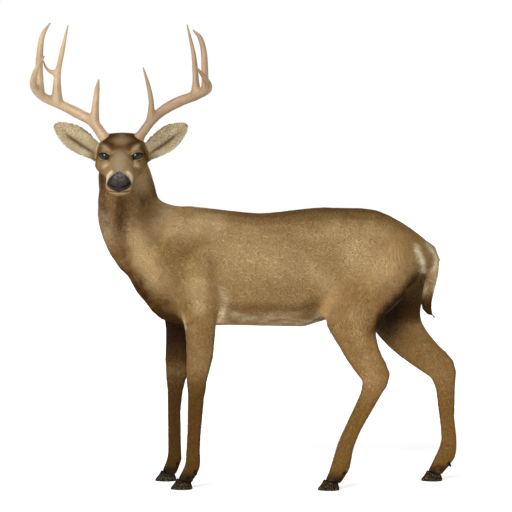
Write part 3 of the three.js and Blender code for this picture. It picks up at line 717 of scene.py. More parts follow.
def rounded(co, edges):
    """The flesh's points with the solids' facets rounded off, and the seams of the legs and tail."""
    shares, _ = regions_of(co)
    haunch = sum(shares[leg] for leg in LEGS) * ramp(co[:, 2], 0.45, 0.58)
    co = relax(co, edges, mix(by_region(shares, ROUNDING), HAUNCH_ROUNDING, haunch), SKIN_ROUNDS)
    flat, y = side_view(co), co[:, 1] - SHIFT[1]
    outer = ramp(np.abs(y), 0.05, 0.08)
    for sign, path, width, rounds in SEAMS:
        seam = stroke(flat, path, width) * (outer * (np.sign(y) == sign) if sign else 1)
        co = relax(co, edges, SEAM_ROUNDING * ramp(seam, 0.1, 0.5), rounds)
    return co


# ---------- markings and the lie of the coat ----------
def brushed(points, strokes):
    """Soft strokes of one colour: each a path, its half width in millimetres and its strength."""
    total = np.zeros(len(points))
    for path, width, strength in strokes:
        total = np.maximum(total, strength * stroke(points, path, width))
    return total


# An ear's outline: how far along it, and half its width there in millimetres.
EAR_OUTLINE = [(0, 31), (0.15, 37), (0.35, 45), (0.55, 47), (0.75, 37), (0.9, 22), (1, 7)]
EAR_CUP = unit(np.array([0, -1, 0.18]))  # the way the ears' cups face


def ear_places(name, places):
    """Across the ear from its lower edge (-1) to its upper edge (1), and how far along it."""
    _, along, direction, offset = places[name]
    high = unit(np.cross(direction, EAR_CUP))
    high *= np.where(high[:, 2:] > 0, 1, -1)
    half = np.interp(along, *np.array(EAR_OUTLINE).T) * MM
    return (offset * high).sum(1) / half, along


# Marks in side view, as strokes of x, z in the solids' millimetres: path, half width, strength.
# Dark hair on the neck and throat, and painted shade: along the chest's lower edge, behind the
# shoulder and elbow, in the flank hollow, along the lower flank and belly, and behind the near haunch
# and rump.
SHADE_AND_DARK_STROKES = [
    ([(-436, 745), (-404, 690), (-368, 645), (-331, 606), (-290, 580)], 38, 1.1),
    ([(-468, 1020), (-472, 960), (-478, 900)], 34, 0.85),
    ([(-480, 890), (-462, 815), (-440, 750)], 30, 0.6),
    ([(-398, 1020), (-385, 985)], 30, 0.7), ([(-530, 1120), (-536, 1040), (-528, 980)], 22, 0.9),
    ([(-372, 1082), (-352, 1040)], 20, 0.8),
    ([(-178, 900), (-230, 845), (-288, 790), (-272, 700), (-248, 622)], 30, 0.26),
    ([(-162, 800), (-150, 663)], 22, 0.3), ([(60, 720), (110, 700)], 40, 0.14),
    ([(217, 690), (226, 630)], 28, 0.06), ([(-90, 636), (152, 633), (200, 650)], 20, 0.5),
    ([(562, 752), (530, 712), (490, 678), (458, 643), (432, 606), (414, 566)], 30, 0.85),
    ([(510, 750), (440, 670), (390, 600)], 50, 0.3),
    ([(560, 920), (610, 860)], 16, 0.3),
]
# Painted shadow in the crease behind the near thigh and painted shade along the chest's lower edge,
# with dark hair down the front of the neck.
SHADOW_AND_BLACK_STROKES = [
    ([(552, 727), (534, 706), (494, 670), (462, 636), (438, 602), (422, 560)], 15, 0.85),
    ([(-425, 722), (-400, 678), (-368, 634), (-331, 596), (-290, 572)], 17, 0.36),
    ([(-468, 990), (-474, 920)], 18, 0.3),
]
# Painted shade on the inner face of the far thigh, under the rump.
FAR_THIGH_SHADE = [([(540, 720), (490, 630), (460, 560)], 62, 0.85)]
PALE_THROAT = [([(-405, 1110), (-390, 1065)], 28, 1.0)]
GREY_NECK = [([(-530, 960), (-516, 880)], 26, 0.42)]
PALE_RUMP = [([(586, 800), (588, 704)], 15, 0.9)]
# Painted highlights on the lit forms: shoulder, elbow, ribs, haunch, loin and legs, and a paler
# throat.
HIGHLIGHT_STROKES = [
    ([(-330, 930), (-270, 915), (-140, 925)], 44, 1.1),
    ([(-430, 885), (-400, 820), (-366, 745)], 42, 1.0),
    ([(-204, 720), (-200, 640)], 30, 0.9), ([(-83, 835), (152, 766)], 95, 0.6),
    ([(190, 770), (215, 730)], 46, 0.8), ([(-405, 1105), (-392, 1070)], 30, 0.9),
    ([(350, 830), (430, 770)], 72, 0.95),
    ([(152, 890), (428, 890)], 34, 0.55), ([(350, 600), (352, 520)], 26, 0.5),
    ([(-205, 560), (-206, 440)], 18, 0.2), ([(385, 450), (405, 380)], 30, 0.45),
    ([(640, 430), (668, 380)], 26, 0.2),
]
PALE_STROKES = [
    ([(-124, 708), (-114, 660)], 9, 0.5), ([(-118, 650), (-124, 604), (-134, 572)], 9, 0.56),
    ([(-256, 618), (-246, 570)], 6, 0.3), ([(-92, 618), (0, 588), (60, 578)], 10, 0.38),
    ([(60, 576), (140, 576), (170, 584), (214, 606)], 11, 0.42),
    ([(549, 846), (572, 792), (580, 755)], 11, 0.95),
    ([(604, 862), (630, 812), (634, 750), (628, 705)], 15, 0.9),
]
# Marks on the face, seen from the front: sideways from the middle and up, in millimetres.
# Dark hair on the crown, brow and chin, and painted shade on the head's sides and along the outer
# edges of the cheeks and jaw.
DARK_FACE_AND_SHADE = [
    ([(18, 78), (38, 68), (54, 56)], 17, 1.0), ([(60, 52), (44, 44), (26, 36)], 14, 1.0),
    ([(0, 84), (18, 82)], 8, 1.0), ([(0, 36), (30, 34)], 9, 0.6),
    ([(66, 34), (76, 16), (82, -6)], 10, 0.8),
    ([(88, -4), (91, -32), (87, -70), (80, -110)], 9, 0.9),
    ([(74, -96), (62, -116), (42, -136)], 12, 0.7), ([(0, -146), (30, -142)], 12, 0.6),
]
NOSE_BANDS = [([(27, -53), (38, -66), (47, -85)], 5.2, 1.25),
    ([(0, -127), (26, -122), (42, -108)], 6, 0.12)]
PALE_FACE = [([(42, -27), (58, -36)], 4.6, 0.42), ([(63, 37), (50, 29), (40, 18)], 6, 0.4)]
RUST_FACE = [([(0, 26), (30, 24), (44, 18)], 11, 0.9), ([(28, 70), (52, 52)], 12, 0.5),
    ([(0, 68), (30, 66)], 16, 0.4), ([(0, -40), (20, -42), (30, -52)], 6, 0.6),
    ([(62, -56), (54, -92)], 12, 0.4)]
GREY_FACE = [([(0, -8), (0, -38)], 24, 0.9), ([(0, 56), (8, 52)], 15, 0.5),
    ([(40, -20), (46, -60)], 14, 0.3)]


def markings(co, normal, shares, places):
    """Shares of the coat's colours from 0 to 1: dark, pale, rust; grey, olive, black; and light. Dark
    also holds painted shade, black painted shadow, and light painted highlights.
    """
    flat = side_view(co)
    x, z = flat.T / MM
    y = (co[:, 1] - SHIFT[1]) / MM
    face = to_face(co)
    front, a = front_of(face), face[:, 0] / MM
    trunk, neck, head, tail = (shares[k] for k in ("trunk", "neck", "head", "tail"))
    fore_left, fore_right, hind_left, hind_right = (shares[leg] for leg in LEGS)
    fore, hind, far = fore_left + fore_right, hind_left + hind_right, fore_right + hind_right
    legs = fore + hind
    body = trunk + legs + neck
    down, side = ramp(-normal[:, 2], 0.1, 0.8), ramp(np.abs(normal[:, 1]), 0.0, 0.35)
    wave, ragged = noise(co, 70 * MM, WAVE_SEED), noise(co, 15 * MM, RAGGED_SEED)
    # faces turned to the other legs, where shade is painted between the legs; near-side strokes stay
    # off the right hind leg's outer face
    inner = np.where(np.abs(y) < 110, -normal[:, 1] * np.sign(y), 0)
    inside = ramp(inner, 0.1, 0.5)
    outer = hind_right * ramp(normal[:, 1], -0.1, 0.3)
    marked = flat - outer[:, None] * np.array([0.1, 0])
    # the far foreleg's face turned to the near side, painted in shade
    hidden = fore_right * ramp(-normal[:, 1], -0.3, 0.2)

    dark = strongest(brushed(marked, SHADE_AND_DARK_STROKES) * body * (1 + 0.4 * ragged),
        # the top of the back darker: the back's darker hair, with painted shade along the top line
        trunk * ramp(normal[:, 2], 0.6, 1.0) * mix(0.45, 0.75, ramp(x, -220, 0)),
        neck * (0.3 + 0.25 * wave) * ramp(z, 860, 960) * ramp(x, -300, -380))
    dark = strongest(dark * (1 - 0.75 * neck * brushed(flat, PALE_THROAT)),
        # painted shade under the chest and neck
        down * (trunk + neck) * ramp(x, -170, -250),
        hind * 0.35 * ramp(z, 320, 60),
        fore * mix(0.12, 0.84, ramp(z, 440, 330)),
        # painted shade on the legs' front and back faces, over the far legs, on the far foreleg's near
        # face and between the legs
        legs * 0.35 * ramp(np.abs(normal[:, 0]), 0.5, 0.95),
        far * 0.22,
        hidden * 0.9 * ramp(z, 360, 460),
        hind * inside * ramp(z, 540, 600),
        fore * inside * ramp(z, 440, 520),
        tail * (0.95 * ramp(z, 715, 670) + 0.25 + 0.2 * ragged),
        brushed(front, DARK_FACE_AND_SHADE) * head * ramp(a, 150, 90),
        head * 0.35 * ramp(a, -30, -80))

    pale = brushed(flat, PALE_STROKES) * (trunk + hind + tail + fore) * (0.8 + 0.7 * ragged)
    pale = strongest(pale * side * mix(1, ramp(z, 688, 712), tail),
        tail * brushed(flat, PALE_RUMP) * (0.8 + 0.6 * ragged),
        down * trunk * ramp(x, -150, -90) * ramp(z, 640, 590) * (0.14 + 0.45 * ragged),
        tail * ramp(z, 690, 732) * (0.62 + 0.5 * ragged),
        head * brushed(front, PALE_FACE) * ramp(a, -20, 10) * ramp(a, 110, 80),
        head * brushed(front, NOSE_BANDS) * ramp(a, 106, 130),
        head * ramp(face[:, 2] / MM, -52, -66) * ramp(a, 70, 110) * 0.16)

    rust = strongest(fore * 0.55 * ramp(z, 460, 200) + hind * 0.2,
        head * brushed(front, RUST_FACE),
        tail * ramp(z, 690, 610) * 0.7)
    grey = strongest(head * brushed(front, GREY_FACE),
        neck * brushed(flat, GREY_NECK),
        neck * ramp(ragged + 0.4 * wave, 0.1, 0.8) * 0.35)
    olive = legs * (0.25 * ramp(z, 640, 500) + 0.6 * ramp(z, 400, 250))
    black = strongest(legs * ramp(z, 76, 44) * (0.8 + 0.3 * ragged),
        brushed(marked, SHADOW_AND_BLACK_STROKES) * body * np.maximum(side, hind),
        tail * ramp(z, 700, 640) * 0.35,
        # painted shadow between the legs, on the far thigh under the rump and on the far foreleg's
        # near face
        hind * inside * ramp(z, 560, 640) * 0.6,
        hind_right * ramp(inner, -0.2, 0.3) * brushed(flat, FAR_THIGH_SHADE),
        hidden * mix(0.34, 0.8, ramp(z, 420, 520)),
        fore * inside * ramp(z, 430, 540) * 0.7)
    # painted highlights on the lit forms, over paler hair that varies at random
    light = np.clip(brushed(marked, HIGHLIGHT_STROKES) + 0.22 * wave + 0.1, 0, 1) * body
    light = strongest(light, 0.3 * head)

    marks = {"dark": dark, "pale": pale, "rust": rust, "grey": grey, "olive": olive, "black": black}
    mark_ears(marks, normal, shares, places, ragged)
    mark_face(marks, co, face, head)
    marks = {name: np.clip(share, 0, 1) for name, share in marks.items()}
    first = np.stack([marks[name] for name in ("dark", "pale", "rust")], 1)
    second = np.stack([marks[name] for name in ("grey", "olive", "black")], 1)
    return first, second, np.clip(light, 0, 1)


def mark_ears(marks, normal, shares, places, ragged):
    """Dark backs, rims and a groove, and a pale inside."""
    for name in EARS:
        across, along = ear_places(name, places)
        share = shares[name]
        inside = ramp(normal @ EAR_CUP, -0.1, 0.35) * share
        groove = inside * bell(across, -0.16, 0.2) * ramp(along, 0.8, 0.55)
        rim = ramp(across, 0.74, 0.93) + ramp(along, 0.9, 0.98) + 0.6 * ramp(-across, 0.86, 0.98)
        lined = share * np.clip(rim + groove, 0, 1)
        marks["olive"] = strongest(marks["olive"], inside * ramp(across, -0.2, -0.6) * 0.75)
        marks["dark"] = strongest(marks["dark"], groove * ramp(along, 0.02, 0.16) * 0.95,
            share * np.clip(rim, 0, 1), (share - inside) * 0.55)
        pale = mix(marks["pale"], 0.5 + 0.22 * ragged, inside * ramp(along, 0.02, 0.12))
        marks["pale"] = pale * (1 - 0.9 * lined)
        marks["grey"] = strongest(marks["grey"], inside * 0.45) * (1 - 0.8 * lined)


def mark_face(marks, co, face, head):
    """Black lids, lips, nose edge and eye corners, and a dark ring round each eye."""
    a = face[:, 0] / MM
    lids = np.zeros(len(co))
    for sign in (1, -1):
        near, edge = round_eye(co, sign)
        lids = strongest(lids, np.where(near, ramp(edge, 1.3, 1.12), 0))
        ring = np.where(near, bell(edge, 1.6, 0.3), 0)
        marks["pale"] = marks["pale"] * (1 - 0.7 * ring)
        marks["dark"] = strongest(marks["dark"], 0.35 * ring * head)
    ahead = head * ramp(a, -25, 0) * ramp(a, 90, 70)
    corners = [ahead * 0.95 * stroke(front_of(face), path, width) for *path, width in EYE_CORNERS]
    marks["black"] = strongest(marks["black"], lids, *corners,
        head * 0.95 * mouth_line(face, 2.6) * ramp(a, 94, 104),
        head * ramp(nose_reach(face), -1.5 * MM, 1.5 * MM))


SWIRL = (0.09, 0.06)  # how far the lie of the hair turns here and there, and over what distance


def coat_lie(co, normal, shares, places):
    """The way the hair lies at each point, along the skin."""
    lie = np.zeros((len(co), 3))
    for name, share in shares.items():
        direction = places[name][2]
        if name == "trunk":
            way = direction - np.outer(0.42 + 0.2 * ramp(co[:, 2], 0.75, 0.6), [0, 0, 1])
        elif name == "neck":
            way = -direction + np.array([0.15, 0.1, 0])
        elif name == "head":
            back = ramp(to_face(co)[:, 0], -0.02, -0.11)
            way = -direction + np.outer(back, [0, 0.2, -1.3])
        elif name in EARS:
            way = direction
        else:
            way = direction + np.array([0.12, 0, 0])
        lie += share[:, None] * way
    lie += SWIRL[0] * np.stack([noise(co, SWIRL[1], seed) for seed in SWIRL_SEEDS], 1)
    lie -= (lie * normal).sum(1, keepdims=True) * normal
    return unit(lie)


# Each region's tufts: tufts in a square metre, length, width and rise in millimetres.
TUFTS = {"trunk": (112000, 16, 1.8, 1.35), "neck": (125000, 18, 1.8, 1.9),
    "head": (330000, 8, 1.05, 1.3), "tail": (240000, 26, 1.9, 5.0), "ear": (220000, 8, 1.2, 1.4),
    "leg": (135000, 10, 1.6, 1.1)}


def scale(sizes, share, **factors):
    """Makes the tufts longer, wider, higher or more by factors where share is 1."""
    for key, factor in factors.items():
        sizes[key] *= mix(1, factor, share)


def tuft_sizes(co, normal, shares, places):
    """Length, width and rise of the tufts at each point in metres, and tufts in a square metre."""
    sizes = {key: by_region(shares, {k: v[n] for k, v in TUFTS.items()})
        for n, key in enumerate(("count", "long", "wide", "rise"))}
    face, z = to_face(co), co[:, 2]
    head, tail = shares["head"], shares["tail"]
    legs = sum(shares[leg] for leg in LEGS)
    crown = head * mound(fold(face), (-62, 20, 55), (46, 46, 34))
    cheek = head * ramp(face[:, 0], 0.0, -0.08) * (1 - crown)
    scale(sizes, head * ramp(face[:, 0], 0.03, 0.12), long=0.6, wide=0.85, rise=0.7, count=1.1)
    scale(sizes, crown, long=1.7, wide=1.3, rise=2.0, count=0.6)
    scale(sizes, cheek, long=1.5, wide=1.25, rise=1.4, count=0.7)
    scale(sizes, tail * ramp(z, 0.66, 0.58), long=0.5, rise=0.4)
    scale(sizes, tail * ramp(z, 0.62, 0.602), long=0.5, rise=0.4, count=0.35)
    scale(sizes, legs * ramp(z, 0.35, 0.12), long=0.75)
    scale(sizes, legs * ramp(z, 0.42, 0.56), long=1.5, wide=1.3, count=0.7)
    for name in EARS:
        across, along = ear_places(name, places)
        rim = strongest(ramp(np.abs(across), 0.8, 0.95), ramp(along, 0.88, 0.97))
        scale(sizes, ramp(normal @ EAR_CUP, 0.0, 0.4) * shares[name], long=1.6, rise=1.7, wide=0.9)
        scale(sizes, rim * shares[name], long=0.45, rise=0.3, count=0.6)
    bare = ramp(nose_reach(face), -2.2 * MM, -0.6 * MM) * head
    for sign in (1, -1):
        near, edge = round_eye(co, sign)
        scale(sizes, np.where(near, ramp(edge, 2.6, 1.3), 0), long=0.6, rise=0.6)
        bare = strongest(bare, np.where(near, ramp(edge, 1.44, 1.34), 0))
    bare = strongest(bare, head * ramp(mouth_line(face, 2.6), 0.3, 0.7))
    ahead = head * ramp(face[:, 0], -0.02, 0.0) * ramp(face[:, 0], 0.09, 0.07)
    for *path, width in EYE_CORNERS:
        bare = strongest(bare, ahead * ramp(stroke(front_of(face), path, width), 0.3, 0.7))
    sizes["count"] *= 1 - np.clip(bare, 0, 1)
    return sizes


def store(mesh, name, values):
    """Keeps a number or three numbers for each point of a mesh under a name."""
    values = np.asarray(values, np.float32)
    if name in mesh.attributes:
        mesh.attributes.remove(mesh.attributes[name])
    kind, field = ("FLOAT", "value") if values.ndim == 1 else ("FLOAT_VECTOR", "vector")
    attribute = mesh.attributes.new(name, kind, "POINT")
    attribute.data.foreach_set(field, values.ravel())


def stored(mesh, name):
    """What is kept for each point under a name."""
    attribute = mesh.attributes[name]
    key, width = ("value", 1) if attribute.data_type == "FLOAT" else ("vector", 3)
    return read(attribute.data, key, width, np.float32)


def write_coat_plan(mesh):
    """Writes the markings, the lie and sizes of the coat, and streak coordinates on the skin."""
    co, normal = points_of(mesh), normals_of(mesh)
    shares, places = regions_of(co)
    sizes = tuft_sizes(co, normal, shares, places)
    nearest = np.stack([shares[name] for name in REGIONS], 1).argmax(1)
    streak = np.zeros((len(co), 3))
    for k, name in enumerate(REGIONS):
        own = nearest == k
        _, along, direction, offset = places[name]
        streak[own] = (offset + direction * along[:, None] * 0.1)[own]
        store(mesh, f"share_{name}", shares[name] * sizes["count"])
    for name, values in zip(("marks_a", "marks_b", "light"), markings(co, normal, shares, places)):
        store(mesh, name, values)
    store(mesh, "lie", coat_lie(co, normal, shares, places))
    store(mesh, "out", normal)
    store(mesh, "tuft_size", np.stack([sizes[key] for key in ("long", "wide", "rise")], 1) * MM)
    store(mesh, "streak", streak)


# ---------- materials ----------
def linear(colour):
    """A colour given as it looks on screen, as the shader wants it."""
    c = np.array(colour[:3], float)
    return tuple(np.where(c <= 0.04045, c / 12.92, ((c + 0.055) / 1.055) ** 2.4)) + (1.0,)


class Tree:
    """A node tree, with short calls that add and wire its nodes."""

    def __init__(self, tree):
        self.tree = tree

    def put(self, socket, value):
        """A link or a constant into an input."""
        if isinstance(value, bpy.types.NodeSocket):
            self.tree.links.new(value, socket)
        elif value is not None:
            socket.default_value = value

    def add(self, kind, *values, **settings):
        """A node with its settings, and what goes into its first inputs."""
        node = self.tree.nodes.new(kind)
        for key, value in settings.items():
            setattr(node, key, value)
        for socket, value in zip(node.inputs, values):
            self.put(socket, value)
        return node

    def fill(self, node, **values):
        """Puts values into a node's inputs by name, and gives its first output."""
        for name, value in values.items():
            self.put(node.inputs[name.replace("_", " ")], value)
        return node.outputs[0]


class Nodes(Tree):
    """A new material's nodes, with short calls for the ones used here."""

    def __init__(self, name):
        old = bpy.data.materials.get(name)
        if old is not None:
            bpy.data.materials.remove(old)
        self.material = bpy.data.materials.new(name)
        self.material.use_nodes = True
        super().__init__(self.material.node_tree)

    def math(self, operation, *values, clamp=False):
        return self.add("ShaderNodeMath", *values, operation=operation, use_clamp=clamp).outputs[0]

    def blend(self, share, a, b, kind="MIX"):
        node = self.add("ShaderNodeMix", share, data_type="RGBA", blend_type=kind)
        self.put(node.inputs[6], a)
        self.put(node.inputs[7], b)
        return node.outputs[2]

    def layers(self, ground, *coats):
        """A ground colour with others laid over it, each by its share."""
        colour = linear(ground)
        for share, tone in coats:
            colour = self.blend(share, colour, linear(tone))
        return colour

    def span(self, value, from_low, from_high, low, high):
        return self.add("ShaderNodeMapRange", value, from_low, from_high, low, high).outputs[0]

    def attribute(self, name, output="Vector"):
        return self.add("ShaderNodeAttribute", attribute_name=name).outputs[output]

    def parts(self, vector):
        return self.add("ShaderNodeSeparateXYZ", vector).outputs

    def place(self):
        return self.add("ShaderNodeTexCoord").outputs["Object"]

    def grain(self, vector, scale, detail=2.0, rough=0.5):
        node = self.add("ShaderNodeTexNoise")
        return self.fill(node, Vector=vector, Scale=scale, Detail=detail, Roughness=rough)

    def stretched(self, vector, scale):
        return self.fill(self.add("ShaderNodeMapping"), Vector=vector, Scale=scale)

    def bump(self, height, distance, strength, before=None):
        node = self.add("ShaderNodeBump")
        return self.fill(node, Height=height, Distance=distance, Strength=strength, Normal=before)

    def finish(self, colour, roughness, normal=None, **constants):
        """Wires the shader; constants are set on its own sockets."""
        shader = self.tree.nodes["Principled BSDF"]
        self.fill(shader, Base_Color=colour, Roughness=roughness, Normal=normal, **constants)
        return self.material


def coat_colour(nodes, colours):
    """The coat's markings with their painted shade and highlights, the same for skin and tufts, and
    the speckle of its hairs.
    """
    cloud = nodes.grain(nodes.place(), 45.0, 3.0)
    tick = nodes.grain(nodes.place(), 190.0, 2.0, 0.6)
    dark, pale, rust = nodes.parts(nodes.attribute("marks_a"))
    grey, olive, black = nodes.parts(nodes.attribute("marks_b"))
    edge = nodes.span(tick, 0.25, 0.75, -0.16, 0.16)
    patches = nodes.span(cloud, 0.3, 0.7, -0.12, 0.12)
    coats = [(nodes.math("ADD", nodes.attribute("light", "Fac"), patches, clamp=True),
        colours.tan_light_and_highlight)]
    for mask, tone in ((olive, colours.olive), (rust, colours.rust), (dark, colours.dark),
            (grey, colours.grey), (pale, colours.cream), (black, colours.black)):
        hump = nodes.math("MULTIPLY", mask, nodes.math("SUBTRACT", 1.0, mask))
        share = nodes.math("MULTIPLY_ADD", nodes.math("MULTIPLY", hump, 4.0), edge, mask, clamp=True)
        coats.append((share, tone))
    return nodes.layers(colours.tan, *coats), nodes.span(tick, 0.3, 0.7, 0.9, 1.08)


def coat_material(name, colours, tufts):
    """Skin with fine hair as bump, or tufts that darken towards their roots."""
    nodes = Nodes(name)
    colour, speckle = coat_colour(nodes, colours)
    normal = None
    if tufts:
        along = nodes.parts(nodes.attribute("blade"))[1]
        tone = nodes.attribute("tone", "Fac")
        shade = nodes.math("MULTIPLY", nodes.span(along, 0.0, 1.0, 0.9, 1.06),
            nodes.span(tone, 0.0, 1.0, 0.95, 1.05))
    else:
        streak = nodes.attribute("streak")
        hair = nodes.grain(streak, 420.0, 3.0, 0.65)
        lock = nodes.grain(streak, 120.0)
        shade = nodes.math("MULTIPLY", speckle, nodes.span(hair, 0.3, 0.7, 0.84, 1.08))
        normal = nodes.bump(hair, 0.001, 0.6, nodes.bump(lock, 0.002, 0.4))
    grey = nodes.add("ShaderNodeCombineColor", shade, shade, shade).outputs[0]
    colour = nodes.blend(1.0, colour, grey, "MULTIPLY")
    return nodes.finish(colour, 0.9, normal, Specular_IOR_Level=0.06)


# ---------- coat of tufts ----------
# A tuft a unit long, wide and high: its points, each one's place across and along it, and faces.
TUFT_POINTS = [(-0.05, 0, -0.35), (0.42, -0.5, 0.35), (0.42, 0.5, 0.35), (0.45, 0, 0.8), (1, 0, 0.85)]
TUFT_BLADE = [(0.5, 0, 0), (0, 0.4, 0), (1, 0.4, 0), (0.5, 0.45, 0), (0.5, 1, 0)]
TUFT_FACES = [(0, 1, 3), (0, 3, 2), (0, 2, 1), (4, 3, 1), (4, 2, 3), (4, 1, 2)]
MOST_FACES = 196015  # of a coat piece: under the limit, because the scatter is random
PATCH = 0.003  # a tuft's patch on the bake map
SIDE_BLEND, LEVEL_BLEND = 3 * MM, 8 * MM  # how far the trunk's pieces reach into each other
TRUNK_PARTED = 0.78  # the height where the trunk's upper pieces meet its lower ones
# Each piece of the coat: its slot and the regions it grows on. The trunk's also have a side, left
# (-1) or right (1), and the height above which they grow, or below which where it is negative.
COAT_PIECES = {f"coat_{part}_{name}": ("body_coat", ["trunk"], (side, above * TRUNK_PARTED))
    for part, above in (("back", 1), ("belly", -1)) for name, side in (("left", -1), ("right", 1))}
COAT_PIECES |= {
    "coat_neck": ("neck_and_head_coat", ["neck"], None),
    "coat_head": ("neck_and_head_coat", ["head"], None),
    "coat_ears": ("ear_coat", EARS, None),
    "coat_forelegs": ("leg_coat", LEGS[:2], None),
    "coat_hindlegs": ("leg_coat", LEGS[2:], None),
    "coat_tail": ("tail_coat", ["tail"], None),
}


def tuft_object():
    """One tuft: pointed at both ends, with a raised back."""
    mesh = bpy.data.meshes.new("tuft")
    mesh.from_pydata(TUFT_POINTS, [], TUFT_FACES)
    store(mesh, "blade", TUFT_BLADE)
    shade_smooth(mesh)
    obj = new_object("tuft", mesh)
    obj.hide_render = True
    return obj


TREE_INPUTS = {"Surface": "Geometry", "Tuft": "Object", "Fullness": "Float", "Length": "Float",
    "Width": "Float", "Rise": "Float", "Swerve": "Float", "Unevenness": "Float", "Seed": "Int",
    "Finish": "Material"}
SWERVE, UNEVEN = 0.08, 0.25  # how far the coat's tufts turn from its lie, and differ in size


def coat_tree():
    """Geometry Nodes that lay tufts over a surface, along its lie, and realize them."""
    group = bpy.data.node_groups.new("Coat of tufts", "GeometryNodeTree")
    for name, kind in TREE_INPUTS.items():
        group.interface.new_socket(name=name, in_out="INPUT", socket_type="NodeSocket" + kind)
    group.interface.new_socket(name="Coat", in_out="OUTPUT", socket_type="NodeSocketGeometry")
    tree = Tree(group)
    source = tree.add("NodeGroupInput").outputs

    def named(name, kind="FLOAT_VECTOR"):
        return tree.add("GeometryNodeInputNamedAttribute", name, data_type=kind).outputs["Attribute"]

    def number(operation, a, b):
        return tree.add("ShaderNodeMath", a, b, operation=operation).outputs[0]

    def times(a, b):
        return tree.add("ShaderNodeVectorMath", a, b, operation="MULTIPLY").outputs[0]

    def triple(x, y, z):
        return tree.add("ShaderNodeCombineXYZ", x, y, z).outputs[0]

    def chance(low, high, offset):
        """A number for each tuft; each offset from the seed gives other numbers."""
        node = tree.add("FunctionNodeRandomValue", None, None, low, high, data_type="FLOAT")
        tree.put(node.inputs["Seed"], number("ADD", source["Seed"], offset))
        return node.outputs[1]

    scatter = tree.add("GeometryNodeDistributePointsOnFaces", distribute_method="RANDOM")
    density = number("MULTIPLY", named("tuft_count", "FLOAT"), source["Fullness"])
    points = tree.fill(scatter, Mesh=source["Surface"], Density=density, Seed=source["Seed"])

    swerve = source["Swerve"]
    swing = chance(number("MULTIPLY", swerve, -1.0), swerve, 2.0)
    nod = chance(number("MULTIPLY", swerve, -0.25), number("MULTIPLY", swerve, 0.25), 1.0)
    turn = tree.add("FunctionNodeEulerToRotation", triple(None, nod, swing)).outputs[0]
    lay = tree.add("FunctionNodeAxesToRotation", named("out"), named("lie"), primary_axis="Z",
        secondary_axis="X").outputs[0]
    turned = tree.add("FunctionNodeRotateRotation", lay, turn, rotation_space="LOCAL").outputs[0]

    small = number("SUBTRACT", 1.0, source["Unevenness"])
    large = number("ADD", 1.0, source["Unevenness"])
    spread = triple(*[chance(small, large, offset) for offset in (3.0, 4.0, 5.0)])
    size = times(times(named("tuft_size"), spread),
        triple(source["Length"], source["Width"], source["Rise"]))

    shape = tree.add("GeometryNodeObjectInfo", source["Tuft"]).outputs["Geometry"]
    coat = tree.fill(tree.add("GeometryNodeInstanceOnPoints"), Points=points, Instance=shape,
        Rotation=turned, Scale=size)
    root = tree.add("GeometryNodeInputPosition").outputs[0]
    tone = chance(0.0, 1.0, 6.0)
    for name, kind, value in (("tone", "FLOAT", tone), ("root", "FLOAT_VECTOR", root)):
        keep = tree.add("GeometryNodeStoreNamedAttribute", data_type=kind, domain="INSTANCE")
        coat = tree.fill(keep, Geometry=coat, Name=name, Value=value)
    coat = tree.add("GeometryNodeRealizeInstances", coat).outputs[0]
    coat = tree.fill(tree.add("GeometryNodeSetMaterial"), Geometry=coat, Material=source["Finish"])
    tree.add("NodeGroupOutput", coat)
    return group


def unwrapped(points, regions):
    """Where points lie on an unwrap of the skin: round each region's middle line, and along it."""
    places = [along_line(points, name) for name in regions]
    own = np.stack([place[0] for place in places], 1).argmin(1)
    u, v = np.zeros(len(points)), np.zeros(len(points))
    column = 1 / len(regions)
    for k, (name, (_, along, direction, offset)) in enumerate(zip(regions, places)):
        side = np.array([1.0, 0, 0] if name == "head" else [0, 1.0, 0])
        first = unit(np.cross(direction, side))
        second = np.cross(direction, first)
        angle = np.arctan2((offset * second).sum(1), (offset * first).sum(1)) / (2 * math.pi) + 0.5
        mine = own == k
        u[mine] = (column * (k + 0.01 + 0.97 * angle))[mine]
        v[mine] = (0.004 + 0.985 * along)[mine]
    return u, v


def write_bake_map(mesh, regions):
    """The OFBake map: each tuft is a small patch at its root's place on the skin's unwrap."""
    blade = stored(mesh, "blade")
    u, v = unwrapped(stored(mesh, "root"), regions)
    spots = np.stack([u + PATCH * blade[:, 0], v + PATCH * blade[:, 1]], 1)
    while mesh.uv_layers:
        mesh.uv_layers.remove(mesh.uv_layers[0])
    layer = mesh.uv_layers.new(name="OFBake")
    corners = spots[read(mesh.loops, "vertex_index", kind=np.int32)]
    layer.uv.foreach_set("vector", corners.astype(np.float32).ravel())


def area_of_points(mesh):
    """The surface's area that belongs to each point."""
    corners = read(mesh.polygons, "loop_total", kind=np.int32)
    share = np.repeat(read(mesh.polygons, "area") / corners, corners)
    return np.bincount(read(mesh.loops, "vertex_index", kind=np.int32), share, len(mesh.vertices))


